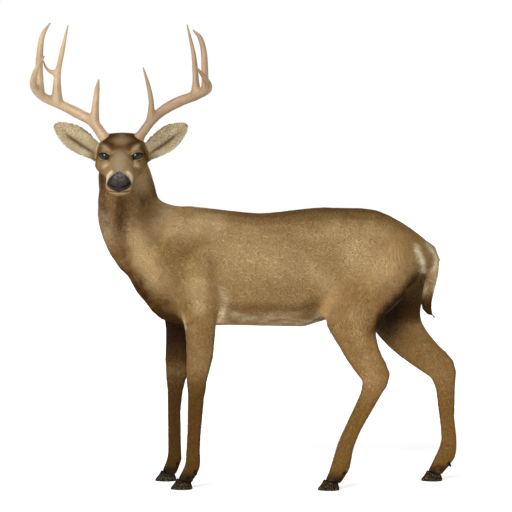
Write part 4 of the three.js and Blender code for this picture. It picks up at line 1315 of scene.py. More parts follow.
def grow_tufts(name, surface, counts, settings, material, seed, swerve=SWERVE, uneven=UNEVEN):
    """A mesh of tufts on a copy of a surface, with so many in a square metre at each point."""
    expected = (counts * area_of_points(surface)).sum() * settings.fullness * len(TUFT_FACES)
    ground = surface.copy()
    store(ground, "tuft_count", counts * min(1.0, MOST_FACES / max(expected, 1)))
    obj = new_object(name + "_ground", ground)
    tuft = tuft_object()
    modifier = obj.modifiers.new("Coat", "NODES")
    modifier.node_group = bpy.data.node_groups.get("Coat of tufts") or coat_tree()
    values = {"Tuft": tuft, "Fullness": settings.fullness, "Length": settings.length,
        "Width": settings.width, "Rise": settings.rise, "Swerve": swerve, "Unevenness": uneven,
        "Seed": seed, "Finish": material}
    for item in modifier.node_group.interface.items_tree:
        if item.item_type == "SOCKET" and item.in_out == "INPUT" and item.name in values:
            modifier[item.identifier] = values[item.name]
    mesh = applied(obj, name)
    shape = tuft.data
    bpy.data.objects.remove(tuft)
    bpy.data.meshes.remove(shape)
    if not mesh.polygons:
        raise RuntimeError(f"{name} grew no tufts")
    return mesh


KEPT_ON_SKIN = {"position", "marks_a", "marks_b", "light", "streak"}
KEPT_ON_TUFTS = {"position", "marks_a", "marks_b", "light", "tone", "blade", "OFBake"}
KEPT_ALWAYS = {"sharp_face", "sharp_edge", "material_index"}


def bare_attributes(mesh, kept):
    """Drops what was stored on a mesh for its making only."""
    for name in [a.name for a in mesh.attributes if not a.is_internal and not a.is_required]:
        if name not in kept | KEPT_ALWAYS:
            mesh.attributes.remove(mesh.attributes[name])


def tuft_piece(name, mesh, regions, material):
    """A grown mesh of tufts as a piece of its own, with its bake map."""
    write_bake_map(mesh, regions)
    bare_attributes(mesh, KEPT_ON_TUFTS)
    piece(name, mesh, material)


def coat_piece(name, surface, settings, material, seed):
    slot, regions, part = COAT_PIECES[name]
    counts = sum(stored(surface, f"share_{region}").astype(float) for region in regions)
    if part is not None:
        co = points_of(surface) - SHIFT
        side, level = part
        counts = counts * ramp(co[:, 1] * side, -SIDE_BLEND, SIDE_BLEND)
        counts = counts * ramp(co[:, 2] * np.sign(level), level - LEVEL_BLEND, level + LEVEL_BLEND)
    mesh = grow_tufts(name, surface, counts, settings, material, seed)
    tuft_piece(name, mesh, regions, material)


# Length, width and height of a lash and a whisker in millimetres, and the most in a square metre.
LASH, LASHES = (10.0, 0.4, 0.4), 300000
WHISKER, WHISKERS = (20.0, 0.3, 0.3), 6000
LASH_LIE = (0.55, 0.3, 0.5)  # the way lashes point: out of the eye, up, and to its outer corner
PLAIN = SimpleNamespace(fullness=1.0, length=1.0, width=1.0, rise=1.0)
FINE_SEED, FINE_SWERVE, FINE_UNEVEN = 77, 0.3, 0.3


def fine_hairs(surface, material):
    """Lashes on the upper lids and a few whiskers round the lips, as one piece."""
    name = "lashes_and_whiskers"
    co, normal = points_of(surface), normals_of(surface)
    face = to_face(co)
    near = fold(face)
    size = np.tile(np.array(WHISKER) * MM, (len(co), 1))
    lie = unit(stored(surface, "lie").astype(float) * 0.8 + normal)
    lips = mound(near, (160, 38, -34), (22, 14, 12)) + mound(near, (160, 10, -62), (18, 16, 10))
    counts = WHISKERS * lips * ramp(nose_reach(face), -3 * MM, -6 * MM)
    for sign in (1, -1):
        centre, look, wide, high = eye_frame(sign)
        edge, _, distance, facing, y = eye_opening(co, sign)
        rim = (distance < 30 * MM) & (facing > 0) & (y > 2 * MM) & ((co - centre) @ wide > -6 * MM)
        lash = np.where(rim, ramp(edge, 1.06, 1.1) * ramp(edge, 1.26, 1.18), 0)
        counts += LASHES * lash
        own = lash > 0.01
        lie[own] = look * LASH_LIE[0] + high * LASH_LIE[1] + wide * LASH_LIE[2]
        size[own] = np.array(LASH) * MM
    lie = unit(lie)
    ground = surface.copy()
    store(ground, "tuft_size", size)
    store(ground, "lie", lie)
    store(ground, "out", unit(normal - (lie * normal).sum(1, keepdims=True) * lie))
    mesh = grow_tufts(name, ground, counts, PLAIN, material, FINE_SEED, FINE_SWERVE,
        FINE_UNEVEN)
    bpy.data.meshes.remove(ground)
    tuft_piece(name, mesh, ["head"], material)


def hair_material(colours):
    nodes = Nodes("lash hair")
    along = nodes.parts(nodes.attribute("blade"))[1]
    colour = nodes.layers(colours.black, (nodes.span(along, 0.0, 1.0, 0.0, 0.5), colours.dark))
    return nodes.finish(colour, 0.5, Specular_IOR_Level=0.4)


# ---------- nose ----------
NOSE_TUCK = -2.4 * MM  # how far the nose's leather reaches under the hair
PEBBLE = 2.4 * MM
LEATHER = 2.2 * MM
# Odd numbers that scatter the centres of the cells, one row for each axis.
JITTER = ((12.9898, 78.233, 37.719), (39.346, 11.135, 83.155), (73.156, 52.235, 9.151))
JITTER_FACTOR, CELLS_START = 43758.5453, 500.0


def cells(points, size, seed):
    """Distances to the nearest and next nearest of scattered centres, in cell sizes."""
    p = points / size + CELLS_START
    base = np.floor(p)
    first, second = np.full(len(p), 9.0), np.full(len(p), 9.0)
    for step in itertools.product((-1, 0, 1), repeat=3):
        corner = base + step
        jitter = np.stack([np.sin(corner @ row + seed) * JITTER_FACTOR % 1 for row in JITTER], 1)
        d = np.linalg.norm(corner + jitter - p, axis=1)
        second = np.where(d < first, first, np.minimum(second, d))
        first = np.minimum(first, d)
    return first, second


def nose_patch(fine):
    """The faces of the fine skin under the bare nose, as a mesh of their own."""
    mesh = fine.copy()
    mesh.name = "nose patch"
    reach = nose_reach(to_face(points_of(mesh)))
    with editing(mesh) as bm:
        far = [f for f in bm.faces if min(reach[v.index] for v in f.verts) < NOSE_TUCK]
        bmesh.ops.delete(bm, geom=far, context="FACES")
        bmesh.ops.triangulate(bm, faces=bm.faces[:])
    return mesh


def nose_mesh(patch):
    """Bare leather of the nose: pebbled, thickest in the middle, its edge tucked under the hair."""
    mesh = patch.copy()
    co, normal = points_of(mesh), normals_of(mesh)
    face = to_face(co)
    near, far = cells(co, PEBBLE, PEBBLE_SEED)
    pebble = ramp(far - near, 0.02, 0.4)
    hollow = stroke(front_of(face), NOSTRIL, 4.0) * ramp(face[:, 0], 0.13, 0.15)
    out = mix(-1.6, 2.2, ramp(nose_reach(face), -2.2 * MM, 4 * MM))
    out += 0.4 * pebble * (1 - 0.85 * hollow)
    set_points(mesh, co + normal * out[:, None] * MM)
    # a painted sheen: the top of the nose lighter and blue grey
    top = ramp(level_of(face) / MM, -95, -70) * ramp(np.abs(face[:, 1]), 0.028, 0.012)
    for name, values in (("pebble", pebble), ("hollow", hollow), ("bloom", top)):
        store(mesh, name, values)
    obj = new_object("nose", mesh)
    modifier = obj.modifiers.new("Thickness", "SOLIDIFY")
    modifier.thickness = LEATHER
    modifier.offset = -1
    return applied(obj, "nose")


def nose_material(settings):
    nodes = Nodes("nose leather")
    pebble, hollow, bloom = (nodes.attribute(name, "Fac") for name in ("pebble", "hollow", "bloom"))
    grain = nodes.grain(nodes.place(), 900.0)
    fleck = nodes.grain(nodes.place(), 330.0, 3.0, 0.6)
    # the painted sheen on the nose's top
    top = nodes.math("MULTIPLY", bloom, nodes.span(fleck, 0.3, 0.6, 0.6, 0.95))
    flecks = nodes.span(fleck, 0.52, 0.66, 0.0, 0.65)
    colour = nodes.layers(settings.nose, (flecks, settings.nose_fleck), (top, settings.nose_sheen))
    # painted shade in the crevices between the pebbles and in the nostrils
    crease = linear(settings.nose_crease_shade)
    colour = nodes.blend(hollow, nodes.blend(pebble, crease, colour), crease)
    rough = nodes.span(grain, 0.3, 0.7, 0.5, 0.65)
    return nodes.finish(colour, rough, nodes.bump(grain, 0.0004, 0.6), Specular_IOR_Level=0.2)


# ---------- eyes ----------
CORNEA = (0.6, 1.2 * MM)  # how far round the ball the clear bulge reaches, and how high it is
EYE_RINGS, EYE_SIDES = 48, 72
PUPIL = (0.40, 0.24)  # its half width and half height, as angles round the ball


def ringed_faces(rings, sides):
    """Faces of a closed shape: a first point, rings of points, and a last point."""
    last = 1 + (rings - 1) * sides
    faces = []
    for k in range(sides):
        after = (k + 1) % sides
        faces += [(0, 1 + after, 1 + k), (last + sides, last + k, last + after)]
        for a in range(1, last, sides):
            faces.append((a + k, a + after, a + sides + after, a + sides + k))
    return faces


def eye_mesh(sign, radius):
    """An eyeball whose pole looks out of the lids, with the clear bulge in front."""
    centre, look, wide, high = eye_frame(sign)
    angle = np.repeat(math.pi / EYE_RINGS * np.arange(1, EYE_RINGS), EYE_SIDES)
    turn = np.tile(2 * math.pi / EYE_SIDES * np.arange(EYE_SIDES), EYE_RINGS - 1)
    x, y = np.cos(turn), np.sin(turn)
    away = np.outer(np.cos(angle), look)
    away += np.sin(angle)[:, None] * (np.outer(x, wide) + np.outer(y, high))
    bulge = CORNEA[1] * np.maximum(0, 1 - (angle / CORNEA[0]) ** 2)
    points = np.vstack([centre + look * (radius + CORNEA[1]),
        centre + away * (radius + bulge)[:, None], centre - look * radius])
    places = np.vstack([(0, 0, 0), np.stack([angle * x, angle * y, angle], 1), (0, 0, math.pi)])
    mesh = bpy.data.meshes.new(f"eye_{sign}")
    mesh.from_pydata(points.tolist(), [], ringed_faces(EYE_RINGS - 1, EYE_SIDES))
    with editing(mesh) as bm:
        bmesh.ops.recalc_face_normals(bm, faces=bm.faces[:])
    store(mesh, "eye_place", places)
    return mesh


def eye_material(settings):
    """A dark iris with fine rays round a wide oval pupil, under a wet clear surface."""
    nodes = Nodes("eye")
    place = nodes.attribute("eye_place")
    x, y, angle = nodes.parts(place)
    wide, tall = nodes.math("DIVIDE", x, PUPIL[0]), nodes.math("DIVIDE", y, PUPIL[1])
    oval = nodes.math("ADD", nodes.math("MULTIPLY", wide, wide), nodes.math("MULTIPLY", tall, tall))
    rays = nodes.grain(nodes.stretched(place, (1.0, 1.0, 0.0)), 26.0, 3.0, 0.7)
    colour = nodes.layers(settings.iris,
        (nodes.span(rays, 0.35, 0.7, 0.0, 1.0), settings.iris_light),
        (nodes.span(angle, 0.62, 0.8, 0.0, 1.0), settings.eye_rim),
        (nodes.span(oval, 0.85, 1.1, 1.0, 0.0), settings.pupil))
    return nodes.finish(colour, 0.6, Specular_IOR_Level=0.0, Coat_Weight=1.0, Coat_Roughness=0.08,
        Coat_IOR=1.42)


# ---------- antlers ----------
PEDICLE = (-58, 54, 39, 8)  # forward, sideways and up on the head, and the stub's height
PEDICLE_ROOT = (0.6, 30)  # its root: share of its way sideways, and how far below
SHRINKAGE = 1.0 * MM  # what the smoothing takes off their radius
BURR = (18, 20, 20, 17.5)  # radii of the low collar, from below upwards
ANTLERS = {
    "right": {
        "beam": [(-540, -158, 1238, 18), (-563, -150, 1277, 18), (-607, -138, 1303, 17.5),
            (-667, -134, 1333, 16.5), (-731, -152, 1362, 15.5), (-759, -194, 1395, 12.5),
            (-745, -270, 1440, 8.5), (-706, -350, 1490, 2.5)],
        "brow": [(-556, -152, 1276, 17), (-550, -168, 1336, 11.5), (-543, -186, 1388, 8),
            (-536, -198, 1422, 2)],
        "second": [(-684, -139, 1346, 19), (-685, -142, 1400, 14.5), (-680, -146, 1451, 10.5),
            (-663, -150, 1530, 7), (-645, -150, 1610, 2)],
        "spur": [(-684, -146, 1442, 11), (-706, -152, 1449, 7.5), (-721, -158, 1463, 5.5),
            (-730, -162, 1488, 2)],
        "third": [(-738, -166, 1374, 14), (-742, -176, 1440, 13), (-740, -176, 1503, 11),
            (-731, -172, 1570, 8), (-703, -168, 1617, 2)],
    },
    "left": {
        "beam": [(-386, -166, 1237, 15.5), (-358, -158, 1281, 16), (-315, -146, 1319, 17),
            (-264, -140, 1347, 17.5), (-208, -150, 1367, 17), (-164, -184, 1389, 14.5),
            (-173, -240, 1420, 9.5), (-202, -300, 1457, 2.5)],
        "brow": [(-361, -160, 1284, 15), (-359, -178, 1346, 8.5), (-369, -196, 1404, 6.5),
            (-385, -208, 1462, 2)],
        "second": [(-207, -152, 1370, 19), (-207, -156, 1420, 11), (-213, -160, 1500, 7.5),
            (-225, -160, 1560, 5), (-237, -158, 1611, 2)],
        "third": [(-174, -172, 1382, 14), (-175, -180, 1440, 11.5), (-178, -182, 1510, 10),
            (-191, -178, 1562, 8), (-217, -172, 1591, 2)],
    },
}
ANTLER_SIDE_SHADE = {"left": 0.6, "right": 0.1}  # the left antler is browned all over, as painted shade
COLLAR = (-6, -1, 4, 9)  # where the collar's radii lie, along the beam from its seat
STEP, ANTLER_VOXEL = 4 * MM, 1.9 * MM
ANTLER_ROUNDS = 34  # of smoothing
FURROW = (1.9, 46)  # furrows round the beam, and their length against its thickness
PEARL = 6.5 * MM
FURROW_DEPTH, PEARL_HEIGHT = 0.42, 0.7


def curve_points(path, radii, step):
    """Even places on a smooth curve through a path, with their radii."""
    path, radii = np.asarray(path, float), np.asarray(radii, float)
    ends = np.vstack([2 * path[0] - path[1], path, 2 * path[-1] - path[-2]])
    out, sizes = [], []
    for i in range(len(path) - 1):
        p0, p1, p2, p3 = ends[i:i + 4]
        count = max(2, int(np.linalg.norm(p2 - p1) / step))
        for k in range(count):
            t = k / count
            bend = (-p0 + 3 * p1 - 3 * p2 + p3) * t**3
            out.append(0.5 * (2 * p1 + (p2 - p0) * t + (2 * p0 - 5 * p1 + 4 * p2 - p3) * t * t + bend))
            sizes.append(mix(radii[i], radii[i + 1], t))
    out.append(path[-1])
    sizes.append(radii[-1])
    return np.array(out), np.array(sizes)


def tube(points, sizes, sides):
    """A closed round tube along points. The rings turn no more than the path does."""
    along = unit(np.gradient(points, axis=0))
    across = unit(np.cross(along[0], [0.31, 0.9, 0.27]))
    turn = np.linspace(0, 2 * math.pi, sides, endpoint=False)
    rows = []
    for p, d, r in zip(points, along, sizes):
        across = unit(across - d * (across @ d))
        other = np.cross(d, across)
        rows.append(p + r * (np.outer(np.cos(turn), across) + np.outer(np.sin(turn), other)))
    tip = points[-1] + along[-1] * sizes[-1] * 0.8
    verts = np.vstack([points[:1], *rows, tip[None]])
    mesh = bpy.data.meshes.new("tube")
    mesh.from_pydata(verts.tolist(), [], ringed_faces(len(rows), sides))
    return mesh


def antler_mesh(side, settings):
    """One antler: beam, tines and burr grown together, with long furrows and pearls near the base."""
    sign = 1 if side == "left" else -1
    a, s, h, top = PEDICLE
    inward, below = PEDICLE_ROOT
    root = from_face([a * MM, sign * s * inward * MM, (h - below) * MM])[0]
    stub = from_face([a * MM, sign * s * MM, h * MM])[0]
    lean = unit(stub - root)
    seat = stub + lean * top * MM
    lines, parts, forks = {}, [], []
    for name, rows in ANTLERS[side].items():
        rows = np.array(rows, float)
        path, radii = rows[:, :3] * MM + SHIFT, rows[:, 3]
        if name == "beam":
            path = np.vstack([seat - lean * 30 * MM, seat + lean * 6 * MM, path[1:]])
            radii = np.concatenate([radii[:1], radii])
        else:
            forks.append(path[0])
        line, sizes = lines[name] = curve_points(path, radii * MM, STEP)
        parts.append(tube(line, (sizes + SHRINKAGE) * settings.thickness, 24))
    collar = [seat + lean * d * MM for d in COLLAR]
    parts.append(tube(np.array(collar), np.array(BURR) * MM, 28))
    mesh = remeshed(joined(parts, "antler"), ANTLER_VOXEL, f"antler_{side}")
    co = points_of(mesh)
    fork = np.min([np.linalg.norm(co - f, axis=1) for f in forks], axis=0)
    across, direction, place = along_branches(co, lines)
    co = relax(co, edges_of(mesh), mix(0.95, 0.2, ramp(fork, 0.03, 0.075)), ANTLER_ROUNDS)
    set_points(mesh, co)
    normal = normals_of(mesh)
    base = np.linalg.norm(co - seat, axis=1)
    streak = across * FURROW[0] + direction * (place / FURROW[1])[:, None]
    furrow = noise(streak, 1.0, FURROW_SEED) + 0.5 * noise(streak * 2.1, 1.0, FINE_FURROW_SEED)
    near, _ = cells(co, PEARL, PEARL_SEED)
    pearl = ramp(0.42 - near, 0.0, 0.3) * ramp(base, 0.16, 0.03)
    slim = np.min([ramp(np.linalg.norm(co - line[-1], axis=1), 0.015, 0.09)
        for line, _ in lines.values()], axis=0)
    slim = np.minimum(slim, ramp(np.linalg.norm(co - lines["beam"][0][-1], axis=1), 0.02, 0.1))
    out = FURROW_DEPTH * furrow * mix(0.2, 1, slim) + PEARL_HEIGHT * pearl
    set_points(mesh, co + normal * out[:, None] * MM * settings.relief)
    # the left antler's browning all over is painted shade
    for name, values in (("furrow", furrow - 1.3 * pearl), ("near_base", ramp(base, 0.34, 0.03)),
            ("near_tip", 1 - slim), ("weathered", np.full(len(co), ANTLER_SIDE_SHADE[side])),
            ("streak", streak)):
        store(mesh, name, values)
    return mesh


def along_branches(co, lines):
    """For each point, on the nearest of an antler's lines: the offset across it in radii, the
    line's direction, and the way along it in millimetres."""
    best, place = np.full(len(co), np.inf), np.zeros(len(co))
    offset, direction = np.zeros_like(co), np.zeros_like(co)
    for line, sizes in lines.values():
        steps = unit(np.gradient(line, axis=0))
        lengths = np.concatenate([[0], np.cumsum(np.linalg.norm(np.diff(line, axis=0), axis=1))])
        for k in range(0, len(line), 2):
            away = co - line[k]
            ratio = np.linalg.norm(away, axis=1) / max(sizes[k], 4 * MM)
            nearer = ratio < best
            best[nearer] = ratio[nearer]
            offset[nearer] = (away / sizes[k])[nearer]
            direction[nearer] = steps[k]
            place[nearer] = (lengths[k] + away[nearer] @ steps[k]) / MM
    return offset - direction * (offset * direction).sum(1, keepdims=True), direction, place


def antler_material(settings):
    """Weathered bone: brown in the furrows and near the base, polished pale towards the tips; the left
    antler browned all over as painted shade.
    """
    nodes = Nodes("antler bone")
    furrow, base, tip, weathered = (nodes.attribute(name, "Fac")
        for name in ("furrow", "near_base", "near_tip", "weathered"))
    vein = nodes.grain(nodes.attribute("streak"), 3.2, 4.0, 0.6)
    fine = nodes.grain(nodes.place(), 420.0, 3.0, 0.6)
    cloud = nodes.grain(nodes.place(), 22.0)
    depth = nodes.math("ADD", furrow, nodes.math("MULTIPLY", vein, -1.4))
    shares = [nodes.math("MULTIPLY", nodes.span(depth, -0.3, -1.5, 0.0, 1.0),
            nodes.span(tip, 0.0, 1.0, 0.34, 0.1)),
        # painted shade over the whole left antler, in the stain colour
        nodes.math("MULTIPLY", weathered, nodes.span(cloud, 0.3, 0.7, 0.6, 1.2)),
        nodes.math("MULTIPLY", base, nodes.span(vein, 0.35, 0.65, 0.05, 0.3))]
    colour = nodes.layers(settings.bone,
        (nodes.span(cloud, 0.35, 0.7, 0.0, 1.0), settings.bone_light),
        *[(share, settings.stain_and_shade) for share in shares],
        (nodes.span(tip, 0.3, 1.0, 0.0, 0.6), settings.bone_tip))
    rough = nodes.span(fine, 0.3, 0.7, 0.42, 0.6)
    normal = nodes.bump(fine, 0.0003, 0.5, nodes.bump(vein, 0.0006, 0.4))
    return nodes.finish(colour, rough, normal, Specular_IOR_Level=0.35)


# ---------- hooves ----------
VOXELS = {"hoof": 1.25 * MM, "dewclaw": 0.9 * MM}
HOOF_ROUNDS = {"hoof": 10, "dewclaw": 26}  # of smoothing
DRAWN_IN = (0.42, 0.1, 0.16)  # how far a hoof's top is drawn in ahead, behind and across
DEWCLAW = (0.8, 4 * MM)  # a dewclaw's size against its solid, and how far it sits ahead of it
RING = 4.6 * MM  # from one growth ring to the next
RING_DEPTH, LINE_DEPTH = 0.22, 0.16


def hoof_part(leg, kind, place):
    """A hoof or dewclaw, rounded, with growth rings and fine lines, its sole kept flat."""
    node = f"{leg}_{kind}_{place}"
    low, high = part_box(node)
    mesh = remeshed(merged_copy(node, 0.0), VOXELS[kind], node)
    co = points_of(mesh)
    floor = low.z + 0.9 * MM if low.z < 2 * MM else -1.0
    sole = co[:, 2] < floor
    smooth = relax(co, edges_of(mesh), np.full(len(co), 0.5), HOOF_ROUNDS[kind])
    smooth[sole, 2] = co[sole, 2]
    if kind == "hoof":
        ahead, behind, across = DRAWN_IN
        top = np.clip((smooth[:, 2] - 8 * MM) / (high.z - 10 * MM), 0, 1)
        seat = smooth[top > 0.8, :2].mean(0)
        x, y = (smooth[:, :2] - seat).T
        smooth[:, 0] -= top * np.where(x < 0, ahead, behind) * x
        smooth[:, 1] -= across * top * y
    else:
        centre = np.array((low + high) / 2)
        smooth = centre + DEWCLAW[0] * (smooth - centre) - (DEWCLAW[1], 0, 0)
    set_points(mesh, smooth)
    co, normal = points_of(mesh), normals_of(mesh)
    tilt = co[:, 2] + 0.25 * (co[:, 0] - low.x)
    ring = np.sin(tilt / RING * 2 * math.pi + 2.0 * noise(co, 20 * MM, RING_SEED))
    line = noise(co * np.array([1, 1, 0.16]), 1.6 * MM, LINE_SEED)
    rise = ramp(co[:, 2], floor, floor + 3 * MM) * (1 - ramp(np.abs(normal[:, 2]), 0.75, 0.95))
    out = (RING_DEPTH * ring + LINE_DEPTH * line) * rise
    set_points(mesh, co + normal * out[:, None] * MM)
    return mesh


def hoof_material(settings):
    nodes = Nodes("hoof horn")
    place = nodes.place()
    line = nodes.grain(nodes.stretched(place, (1.0, 1.0, 0.12)), 620.0, 3.0, 0.6)
    chip = nodes.grain(place, 260.0, 3.0, 0.65)
    height = nodes.parts(place)[2]
    worn = nodes.math("MULTIPLY", nodes.span(height, 0.004, 0.05, 1.0, 0.1),
        nodes.span(chip, 0.53, 0.67, 0.0, 0.85))
    colour = nodes.layers(settings.horn, (nodes.span(line, 0.35, 0.7, 0.0, 1.0), settings.horn_light),
        (worn, settings.horn_chip))
    return nodes.finish(colour, nodes.span(chip, 0.3, 0.7, 0.6, 0.8), nodes.bump(line, 0.0006, 0.5),
        Specular_IOR_Level=0.05)


# ---------- what a user may change ----------
def colour_setting(name, description, red, green, blue):
    return FloatVectorProperty(name=name, description=description, subtype="COLOR_GAMMA", size=3,
        min=0, max=1, default=(red / 255, green / 255, blue / 255))


def number_setting(name, description, default, low, high, **more):
    return FloatProperty(name=name, description=description, default=default, min=low, max=high,
        **more)


class DEER_PG_coat(bpy.types.PropertyGroup):
    """Colours and sizes of the coat."""

    tan: colour_setting("Tan", "Main colour of the body", 144, 113, 70)
    # paler hair, and the painted highlights of the lit forms
    tan_light_and_highlight: colour_setting("Light tan", "Paler patches of the body", 182, 154, 110)
    # dark hair, and painted shade under the chest, behind the haunch, between the legs and on the far
    # legs
    dark: colour_setting("Dark brown", "Back, chest, crown, cheeks and neck", 84, 56, 22)
    rust: colour_setting("Rust", "Brow, lower legs and tail", 122, 74, 28)
    grey: colour_setting("Grey", "Bridge of the nose and grizzled neck", 170, 152, 122)
    olive: colour_setting("Olive brown", "Legs", 110, 83, 38)
    cream: colour_setting("Cream", "Belly, rump, ears and bands by the nose", 224, 211, 177)
    # black skin and hair, and painted shadow in the crease behind the near thigh and between the legs
    black: colour_setting("Black brown", "Lids, lips and edges of the hooves", 26, 18, 12)
    fullness: number_setting("Fullness", "Number of tufts against the usual", 1.0, 0.05, 1.0,
        subtype="FACTOR")
    length: number_setting("Length", "Length of the tufts against the usual", 1.0, 0.2, 2.0)
    width: number_setting("Width", "Width of the tufts against the usual", 1.0, 0.2, 2.0)
    rise: number_setting("Rise", "How far the tufts stand out against the usual", 1.0, 0.2, 2.0)


class DEER_PG_body(bpy.types.PropertyGroup):
    """Size of the skin's mesh, and colours of the nose, eyes and hooves."""

    skin_faces: IntProperty(name="Skin faces", description="Triangles of the skin", default=170000,
        min=20000, max=199000)
    ball: number_setting("Eyeball radius", "Radius of the eyeballs", BALL_RADIUS, 0.012, 0.024,
        subtype="DISTANCE", unit="LENGTH")
    nose: colour_setting("Nose", "Pebbles of the nose", 46, 37, 26)
    nose_fleck: colour_setting("Nose flecks", "Pale flecks on the lower nose", 96, 84, 62)
    # painted shade in the crevices and nostrils
    nose_crease_shade: colour_setting("Nose crease", "Between the pebbles and in the nostrils", 12, 9, 7)
    # a painted sheen on the top of the nose
    nose_sheen: colour_setting("Nose bloom", "Blue grey top of the nose", 118, 114, 114)
    iris: colour_setting("Iris", "Iris of the eye", 22, 16, 12)
    iris_light: colour_setting("Iris rays", "Lighter rays of the iris", 32, 25, 19)
    eye_rim: colour_setting("Eye rim", "Round the iris", 14, 11, 9)
    pupil: colour_setting("Pupil", "Pupil of the eye", 6, 6, 8)
    horn: colour_setting("Hoof", "Horn of the hooves", 13, 8, 3)
    horn_light: colour_setting("Hoof lines", "Fine lines in the horn", 32, 23, 12)
    horn_chip: colour_setting("Worn horn", "Chips at the hooves' edges", 122, 105, 78)


class DEER_PG_antlers(bpy.types.PropertyGroup):
    """Thickness, relief and colours of the antlers."""

    thickness: number_setting("Thickness", "Thickness against the solids", 1.0, 0.8, 1.02)
    relief: number_setting("Relief", "Depth of furrows and pearls against the usual", 1.0, 0.0, 2.0)
    bone: colour_setting("Bone", "Main colour", 178, 152, 118)
    bone_light: colour_setting("Light bone", "Paler patches", 192, 167, 136)
    bone_tip: colour_setting("Tips", "Weathered tips", 142, 114, 86)
    # stain in the furrows and at the base, and painted shade on the left antler
    stain_and_shade: colour_setting("Stain", "Furrows and base", 116, 88, 60)


class DEER_PG_stage(bpy.types.PropertyGroup):
    """Floor, light and camera."""

    floor: colour_setting("Floor", "Colour of the floor", 222, 222, 222)
    glow: number_setting("Floor glow", "Light that the floor gives by itself", 0.5, 0, 10)
    key: number_setting("Main light", "Strength of the soft light in front", 3.4, 0, 100)
    back: number_setting("Back light", "Strength of the soft light behind", 0.9, 0, 100)
    horizon: number_setting("Horizon", "Brightness of the backdrop", 1.0, 0, 10)
    sky: number_setting("Sky", "Brightness overhead", 0.3, 0, 10)
    lens: number_setting("Lens", "Focal length in millimetres", 139.8, 20, 400)


def need(name):
    """A mesh that an earlier operator has left for this one."""
    mesh = bpy.data.meshes.get(name)
    if mesh is None:
        raise RuntimeError(f"build the skin first: there is no mesh named {name}")
    return mesh


class DEER_OT_skin(bpy.types.Operator):
    """Build the skin: one mesh for the whole body, with lids, lips, nostrils and muscles"""

    bl_idname = "deer.skin"
    bl_label = "Skin"

    def execute(self, context):
        mesh = skin_mesh(context.scene.deer_body.skin_faces)
        write_coat_plan(mesh)
        plan = mesh.copy()
        plan.name = "coat plan"
        plan.use_fake_user = True
        bare_attributes(mesh, KEPT_ON_SKIN)
        material = coat_material("skin under coat", context.scene.deer_coat, tufts=False)
        piece("skin", mesh, material, [n for n in FLESH if n != "nose_pad"])
        return {"FINISHED"}


class DEER_OT_nose(bpy.types.Operator):
    """Build the bare pebbled leather of the nose"""

    bl_idname = "deer.nose"
    bl_label = "Nose"

    def execute(self, context):
        material = nose_material(context.scene.deer_body)
        piece("nose", nose_mesh(need("nose patch")), material, ["nose_pad"])
        return {"FINISHED"}


class DEER_OT_eyes(bpy.types.Operator):
    """Build the eyeballs"""

    bl_idname = "deer.eyes"
    bl_label = "Eyes"

    def execute(self, context):
        settings = context.scene.deer_body
        material = eye_material(settings)
        for side, sign in (("left", 1), ("right", -1)):
            name = f"eyeball_{side}"
            piece(name, eye_mesh(sign, settings.ball), material, [f"eye_{side}"])
        return {"FINISHED"}


class DEER_OT_antlers(bpy.types.Operator):
    """Build both antlers"""

    bl_idname = "deer.antlers"
    bl_label = "Antlers"

    def execute(self, context):
        settings = context.scene.deer_antlers
        material = antler_material(settings)
        for side in ("left", "right"):
            nodes = [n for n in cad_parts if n.startswith(f"antler_{side}")]
            piece(f"grown_antler_{side}", antler_mesh(side, settings), material, nodes)
        return {"FINISHED"}


class DEER_OT_hooves(bpy.types.Operator):
    """Build the hooves and dewclaws of each foot"""

    bl_idname = "deer.hooves"
    bl_label = "Hooves"

    def execute(self, context):
        material = hoof_material(context.scene.deer_body)
        places = [(kind, place) for kind in ("hoof", "dewclaw") for place in ("inner", "outer")]
        for leg in LEGS:
            parts = [hoof_part(leg, kind, place) for kind, place in places]
            nodes = [f"{leg}_{kind}_{place}" for kind, place in places]
            piece(f"hooves_{leg}", joined(parts, leg), material, nodes)
        return {"FINISHED"}


class DEER_OT_coat(bpy.types.Operator):
    """Grow the coat: tufts laid over the skin by Geometry Nodes, with lashes and whiskers"""

    bl_idname = "deer.coat"
    bl_label = "Coat"

    def execute(self, context):
        settings = context.scene.deer_coat
        surface = need("coat plan")
        material = coat_material("coat of tufts", settings, tufts=True)
        for seed, name in enumerate(COAT_PIECES, 1):
            coat_piece(name, surface, settings, material, seed)
        fine_hairs(surface, hair_material(settings))
        return {"FINISHED"}


# The soft lights: name, degrees round from the front and up, and how wide it spreads.
LIGHTS = (("key", -22, 30, 28), ("back", 160, 38, 40))
BACKDROP_TOP = (0.11, 0.4)  # the backdrop fades into the sky between these heights
FLOOR_RADIUS = 60
SENSOR_WIDTH, FARTHEST = 36, 200
CAMERA_AT = (SHIFT[0], SHIFT[1] - 7.0, 1.06)
FOCAL_PIXELS = 1988.6  # the lens, in pixels of a frame 512 wide
HORIZON_RISE = 71.1  # how far the horizon lies over the frame's middle, in its pixels


def studio_world(settings):
    """Even light: a bright backdrop low down all round, and a dimmer sky above it."""
    world = bpy.data.worlds.new("studio")
    world.use_nodes = True
    tree = Tree(world.node_tree)
    direction = tree.add("ShaderNodeTexCoord").outputs["Generated"]
    height = tree.add("ShaderNodeSeparateXYZ", direction).outputs[2]
    strength = tree.add("ShaderNodeMapRange", height, *BACKDROP_TOP, settings.horizon, settings.sky)
    background = world.node_tree.nodes["Background"]
    tree.put(background.inputs["Color"], (1.0, 1.0, 1.0, 1.0))
    tree.put(background.inputs["Strength"], strength.outputs[0])
    return world


